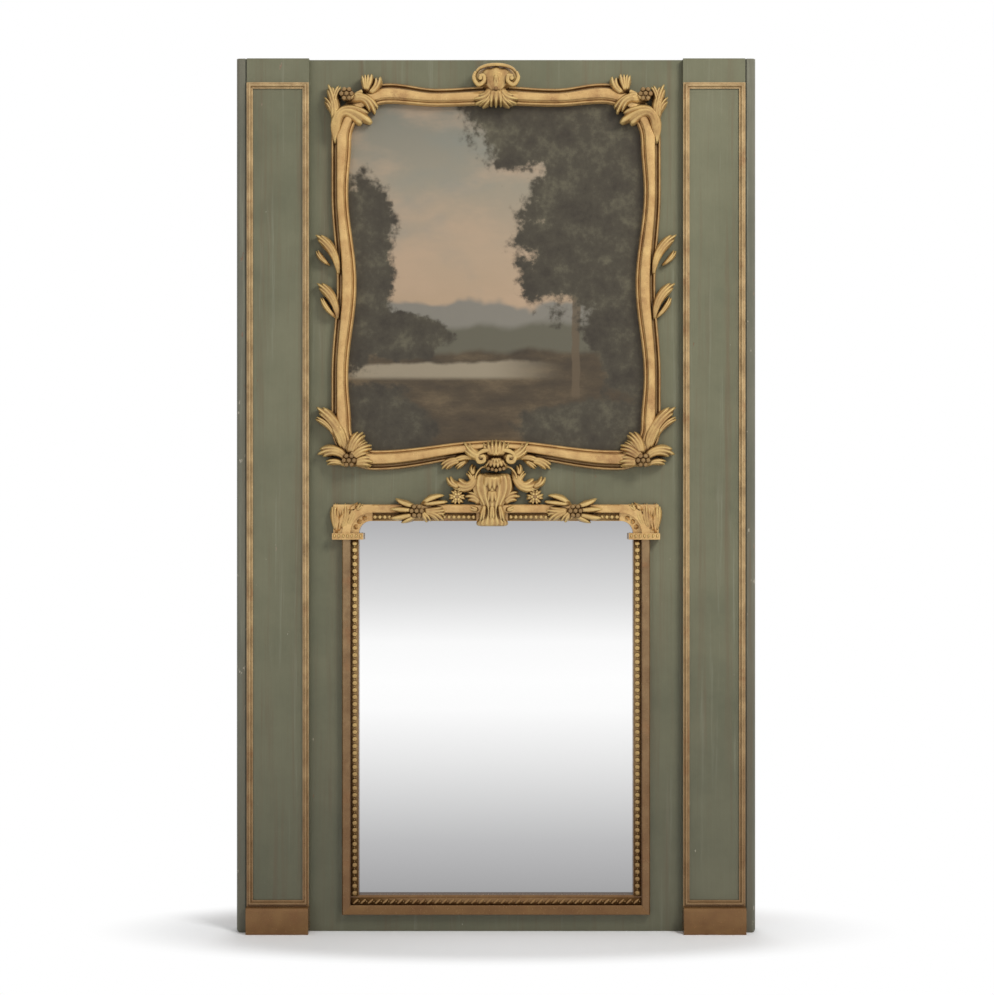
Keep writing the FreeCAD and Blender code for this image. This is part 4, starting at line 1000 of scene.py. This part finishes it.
def serpentine_profile(width):
    """The profile from the outer edge: distance, rise, and whether the face from there on takes the duller
    gilding, which paints shade on the bead's flanks, in the groove and on the step up to the band; the
    bead's crest stays bright.
    """
    groove = 2 * BEAD_WIDTH
    lip = width - LIP_WIDTH
    band = lip - groove
    points = [(0, 0, 0), (0, BEAD_RISE * 0.6, 1)]
    for i in range(1, BEAD_STEPS):
        angle = math.pi * i / BEAD_STEPS
        height = BEAD_RISE * (0.7 + 0.3 * math.sin(angle))
        points.append((BEAD_WIDTH * (1 - math.cos(angle)) / 2, height, i != BEAD_STEPS // 2))
    points += [(BEAD_WIDTH, BEAD_RISE * 0.6, 1), (BEAD_WIDTH * 1.25, GROOVE_RISE, 1)]
    points += [(groove * 0.95, GROOVE_RISE, 1), (groove, SERPENTINE_RISE * 0.5, 1)]
    for i in range(BAND_STEPS + 1):
        angle = math.radians(BAND_START + BAND_TURN * i / BAND_STEPS)
        height = SERPENTINE_RISE * (0.72 + 0.28 * math.sin(angle))
        points.append((groove + band * (i + 0.4) / (BAND_STEPS + 0.8), height, 0))
    points += [(lip - 0.5, LIP_RISE * 0.85, 0), (lip + 0.8, LIP_RISE * 0.85, 0)]
    for i in range(LIP_STEPS + 1):
        angle = math.pi * (0.2 + 0.8 * i / LIP_STEPS)
        height = LIP_RISE * (0.75 + 0.25 * math.sin(angle))
        points.append((lip + 1 + (LIP_WIDTH - 1) * (i + 0.5) / (LIP_STEPS + 0.5), height, 0))
    return points + [(width, 0, 0)]


def serpentine_member(stations):
    """The profile drawn along the stations, from their outer to their sight points."""
    bm = bmesh.new()
    rows = []
    for outer, inner in stations:
        width = math.dist(outer, inner)
        across = ((inner[0] - outer[0]) / width, (inner[1] - outer[1]) / width)
        row = []
        for distance, rise, _ in serpentine_profile(width):
            x = outer[0] + across[0] * distance
            z = outer[1] + across[1] * distance
            row.append(bm.verts.new(spot(x, z, rise)))
        rows.append(row)
    # The bead's flanks and the groove take the duller gilding: painted shade.
    dull_and_shaded = [entry[2] for entry in serpentine_profile(SERPENTINE_WIDTH)]
    for lower, upper in zip(rows, rows[1:]):
        for i in range(len(lower) - 1):
            face = bm.faces.new((lower[i], lower[i + 1], upper[i + 1], upper[i]))
            face.material_index = int(dull_and_shaded[i])
    bmesh.ops.recalc_face_normals(bm, faces=bm.faces)
    return bm


def frame_picture():
    for side, flip in SIDES:
        bm = serpentine_member(side_stations())
        piece("serpentine_" + side, bm, GILT, ["picture_frame_" + side], (0, 0), flip, [DULL_AND_SHADED_GILT])
    top = cross_stations(FRAME_TOP, 1, TOP_CORNER, TOP_DIP, TOP_SWELLING, TOP_BEND, TOP_RETURN)
    piece("serpentine_top", serpentine_member(top), GILT, ["picture_frame_top"], materials=[DULL_AND_SHADED_GILT])
    bottom = cross_stations(FRAME_BOTTOM, -1, BOTTOM_CORNER, BOTTOM_BOW, BOTTOM_SWELLING, BOTTOM_BEND, 0)
    bm = serpentine_member(bottom)
    piece("serpentine_bottom", bm, GILT, ["picture_frame_bottom"], materials=[DULL_AND_SHADED_GILT])


# ---------------------------------------------------------------- pearls and ribbon

PEARL_RADIUS = 5.7
PEARL_PITCH = 14.4
TOP_PEARL_RADIUS = 4.2
TOP_PEARL_PITCH = 10.0
VASE_CLEARANCE = 33.0
COLLAR_OVERHANG = 10.0
RIBBON_PITCH = 15.2
RIBBON_MARGIN = 3.0
RIBBON_LEAN = 5.0
RIBBON_RISE = 3.6
RIBBON_RADIUS = 2.4
RIBBON_END_RADIUS = 1.7
STRIP_THICKNESS = 2.0
SMALL_BALL_SIDES = 8
COLLAR_PITCH = 8.0


def places(low, high, pitch):
    """Even places between two limits, at about the pitch."""
    count = max(1, int((high - low) // pitch))
    return [low + (high - low) * (i + 0.5) / count for i in range(count)]


def bed(bm, low, high, rest):
    """A thin strip that the pearls sit on, in the duller gilding: painted shade between the pearls or the
    ribbon's turns.
    """
    corners = [(low.x, low.z), (high.x, low.z), (high.x, high.z), (low.x, high.z)]
    back = [bm.verts.new(spot(x, z, rest)) for x, z in corners]
    front = [bm.verts.new(spot(x, z, rest + STRIP_THICKNESS)) for x, z in corners]
    grid(bm, [back, front], closed=True)
    bm.faces.new(front)
    for face in bm.faces:
        face.material_index = 1


def pearl_row(bm, low, high, radius, pitch):
    """A row of pearls with a thin spacer between each two, in the space of its CAD strip."""
    rest = FRONT - high.y
    bed(bm, low, high, rest)
    upright = high.z - low.z > high.x - low.x
    start, end = (low.z, high.z) if upright else (low.x, high.x)
    middle = (low.x + high.x) / 2 if upright else (low.z + high.z) / 2
    spots = places(start, end, pitch)
    gap = (end - start) / len(spots) / 2
    for along in spots:
        x, z = (middle, along) if upright else (along, middle)
        ball(bm, x, z, radius, rest + STRIP_THICKNESS + radius - 0.5, 0.9)
        x, z = (middle, along + gap) if upright else (along + gap, middle)
        if along + gap + 2 < end:
            ball(bm, x, z, radius * 0.28, rest + STRIP_THICKNESS + radius * 0.4, 0.9, SMALL_BALL_SIDES)


def string_pearls():
    low, high = limits("pearl_strip_right")
    for side, flip in SIDES:
        bm = shape(pearl_row, low, high, PEARL_RADIUS, PEARL_PITCH)
        piece("pearls_" + side, bm, CARVED_GILT, ["pearl_strip_" + side], (0, 0), flip, [DULL_AND_SHADED_GILT])
    low, high = limits("pearl_strip_top")
    ends = (("right", VASE_X + VASE_CLEARANCE, high.x), ("left", low.x, VASE_X - VASE_CLEARANCE))
    for side, start, end in ends:
        row = (Vector((start, low.y, low.z)), Vector((end, high.y, high.z)))
        bm = shape(pearl_row, *row, TOP_PEARL_RADIUS, TOP_PEARL_PITCH)
        replaced = ["pearl_strip_top"] if side == "right" else []
        piece("pearls_top_" + side, bm, CARVED_GILT, replaced, materials=[DULL_AND_SHADED_GILT])


def ribbon(bm, low, high):
    """A ribbon wound round a rod: rounded slanting turns with a small bead in each gap."""
    rest = FRONT - high.y
    bed(bm, low, high, rest)
    middle = (low.z + high.z) / 2
    reach = (high.z - low.z) / 2 - 2.5
    top = rest + STRIP_THICKNESS + RIBBON_RISE
    for x in places(low.x + RIBBON_MARGIN, high.x - RIBBON_MARGIN, RIBBON_PITCH):
        stem(bm, [
            (x - RIBBON_LEAN, middle - reach, RIBBON_END_RADIUS, top - 1),
            (x, middle, RIBBON_RADIUS, top),
            (x + RIBBON_LEAN, middle + reach, RIBBON_END_RADIUS, top - 1),
        ])
        ball(bm, x + RIBBON_PITCH * 0.45, middle, RIBBON_END_RADIUS, top - 1.2, 0.9, SMALL_BALL_SIDES)


def wind_ribbon():
    bm = shape(ribbon, *limits("ribbon_strip"))
    piece("ribbon", bm, GILT, ["ribbon_strip"], materials=[DULL_AND_SHADED_GILT])


def corner_carving(bm):
    """The leaves and the fluted collar over the right-hand corner block."""
    low, high = limits("corner_block_right")
    foot = low.z
    top = high.z - 3
    leaf(bm, (high.x - 10, foot + 12), (high.x - 6, top + 1), 20, -2, 18, 3)
    leaf(bm, (high.x - 18, foot + 16), (high.x - 26, top + 1), 20, 4, 18, 3)
    leaf(bm, (high.x - 24, foot + 22), (high.x - 44, top + 2), 17, 7, 17, 2)
    leaf(bm, (high.x - 46, top - 14), (high.x - 60, top + 2), 13, 3, 18, 2)
    collar_end = limits("pearl_strip_right")[0].x - COLLAR_OVERHANG
    for x in places(collar_end, high.x - 1, COLLAR_PITCH):
        leaf(bm, (x, foot + 14), (x, foot), 8, 0, 25, 1, 0.6)


# ---------------------------------------------------------------- canvas

HALF_CANVAS = 0.4
CANVAS_SLACK = 0.25
NO_AREA = 1e-9


def canvas_sheet():
    """The canvas stretched over its bars and turned back along their sides."""
    low, high = PICTURE_LOW, PICTURE_HIGH
    bm = bmesh.new()
    rows = []
    for j in range(-1, CANVAS_ROWS + 2):
        row = []
        for i in range(-1, CANVAS_COLUMNS + 2):
            u = min(max(i / CANVAS_COLUMNS, 0), 1)
            v = min(max(j / CANVAS_ROWS, 0), 1)
            turned = i in (-1, CANVAS_COLUMNS + 1) or j in (-1, CANVAS_ROWS + 1)
            slack = 0.0 if turned else CANVAS_SLACK * math.sin(math.pi * u) * math.sin(math.pi * v)
            y = high.y if turned else low.y + HALF_CANVAS + slack
            x = low.x + HALF_CANVAS + (high.x - low.x - 2 * HALF_CANVAS) * u
            z = low.z + HALF_CANVAS + (high.z - low.z - 2 * HALF_CANVAS) * v
            row.append(bm.verts.new(Vector((x, y, z)) * MM))
        rows.append(row)
    grid(bm, rows)
    corners = [face for face in bm.faces if face.calc_area() < NO_AREA]
    bmesh.ops.delete(bm, geom=corners, context="FACES")
    bmesh.ops.recalc_face_normals(bm, faces=bm.faces)
    mesh = bpy.data.meshes.new("canvas_sheet")
    bm.to_mesh(mesh)
    mesh.materials.append(PICTURE)
    sheet = bpy.data.objects.new("canvas_sheet", mesh)
    bpy.context.scene.collection.objects.link(sheet)
    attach(sheet, "panel")
    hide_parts("canvas")


# ---------------------------------------------------------------- floor, light and camera

FLOOR_REACH = 14.0
AMBIENT = 0.44
LAMPS = (
    ("key", (1.9, -2.2, 3.2), 1.1, 76),
    ("fill", (-2.4, -2.8, 1.4), 2.2, 10),
    ("back", (0.0, 2.8, 2.4), 2.0, 30),
)
LAMP_AIM = 0.55


def make_stage():
    bm = bmesh.new()
    bmesh.ops.create_grid(bm, x_segments=1, y_segments=1, size=FLOOR_REACH)
    mesh = bpy.data.meshes.new("floor")
    bm.to_mesh(mesh)
    mesh.materials.append(FLOOR)
    floor = bpy.data.objects.new("floor", mesh)
    floor.location.z = min(0.0, cad_bounds[0].z)
    bpy.context.scene.collection.objects.link(floor)


def light_world():
    """Soft white light, and a white background for the camera and for reflections."""
    world = bpy.data.worlds.new("studio")
    bpy.context.scene.world = world
    world.use_nodes = True
    tree = world.node_tree
    background = tree.nodes["Background"]
    background.inputs["Color"].default_value = (1, 1, 1, 1)
    path = tree.nodes.new("ShaderNodeLightPath")
    seen = path.outputs["Is Camera Ray"]
    for name in ("Is Glossy Ray", "Is Transmission Ray"):
        both_kinds = tree.nodes.new("ShaderNodeMath")
        both_kinds.operation = "MAXIMUM"
        tree.links.new(seen, both_kinds.inputs[0])
        tree.links.new(path.outputs[name], both_kinds.inputs[1])
        seen = both_kinds.outputs[0]
    strength = tree.nodes.new("ShaderNodeMapRange")
    strength.inputs["To Min"].default_value = AMBIENT
    strength.inputs["To Max"].default_value = 1.0
    tree.links.new(seen, strength.inputs["Value"])
    tree.links.new(strength.outputs[0], background.inputs["Strength"])


def light_lamps():
    """Area lamps aimed at the panel, each with its place, size in metres and power in watts."""
    for name, place, size, power in LAMPS:
        data = bpy.data.lights.new(name, "AREA")
        data.size = size
        data.energy = power
        lamp = bpy.data.objects.new(name, data)
        lamp.location = place
        aim = Vector((0, 0, HEIGHT * MM * LAMP_AIM)) - lamp.location
        lamp.rotation_euler = aim.to_track_quat("-Z", "Y").to_euler()
        bpy.context.scene.collection.objects.link(lamp)
        lamp.visible_glossy = False


def place_camera():
    data = bpy.data.cameras.new("camera")
    data.sensor_fit = "HORIZONTAL"
    data.sensor_width = SENSOR_WIDTH
    data.lens = CAMERA_DISTANCE / (MM_PER_PIXEL * MM * IMAGE_WIDTH) * data.sensor_width
    camera = bpy.data.objects.new("camera", data)
    camera.location = (CAMERA_X, FRONT * MM - CAMERA_DISTANCE, CAMERA_Z)
    camera.rotation_euler = (math.radians(90), 0, 0)
    bpy.context.scene.collection.objects.link(camera)
    bpy.context.scene.camera = camera


bpy.context.scene.view_settings.view_transform = "Standard"
place_camera()
make_stage()
light_world()
light_lamps()
dress_nodes()
frame_picture()
carve()
string_pearls()
wind_ribbon()
pair("corner_leaves", corner_carving, None, (0, 0))
canvas_sheet()
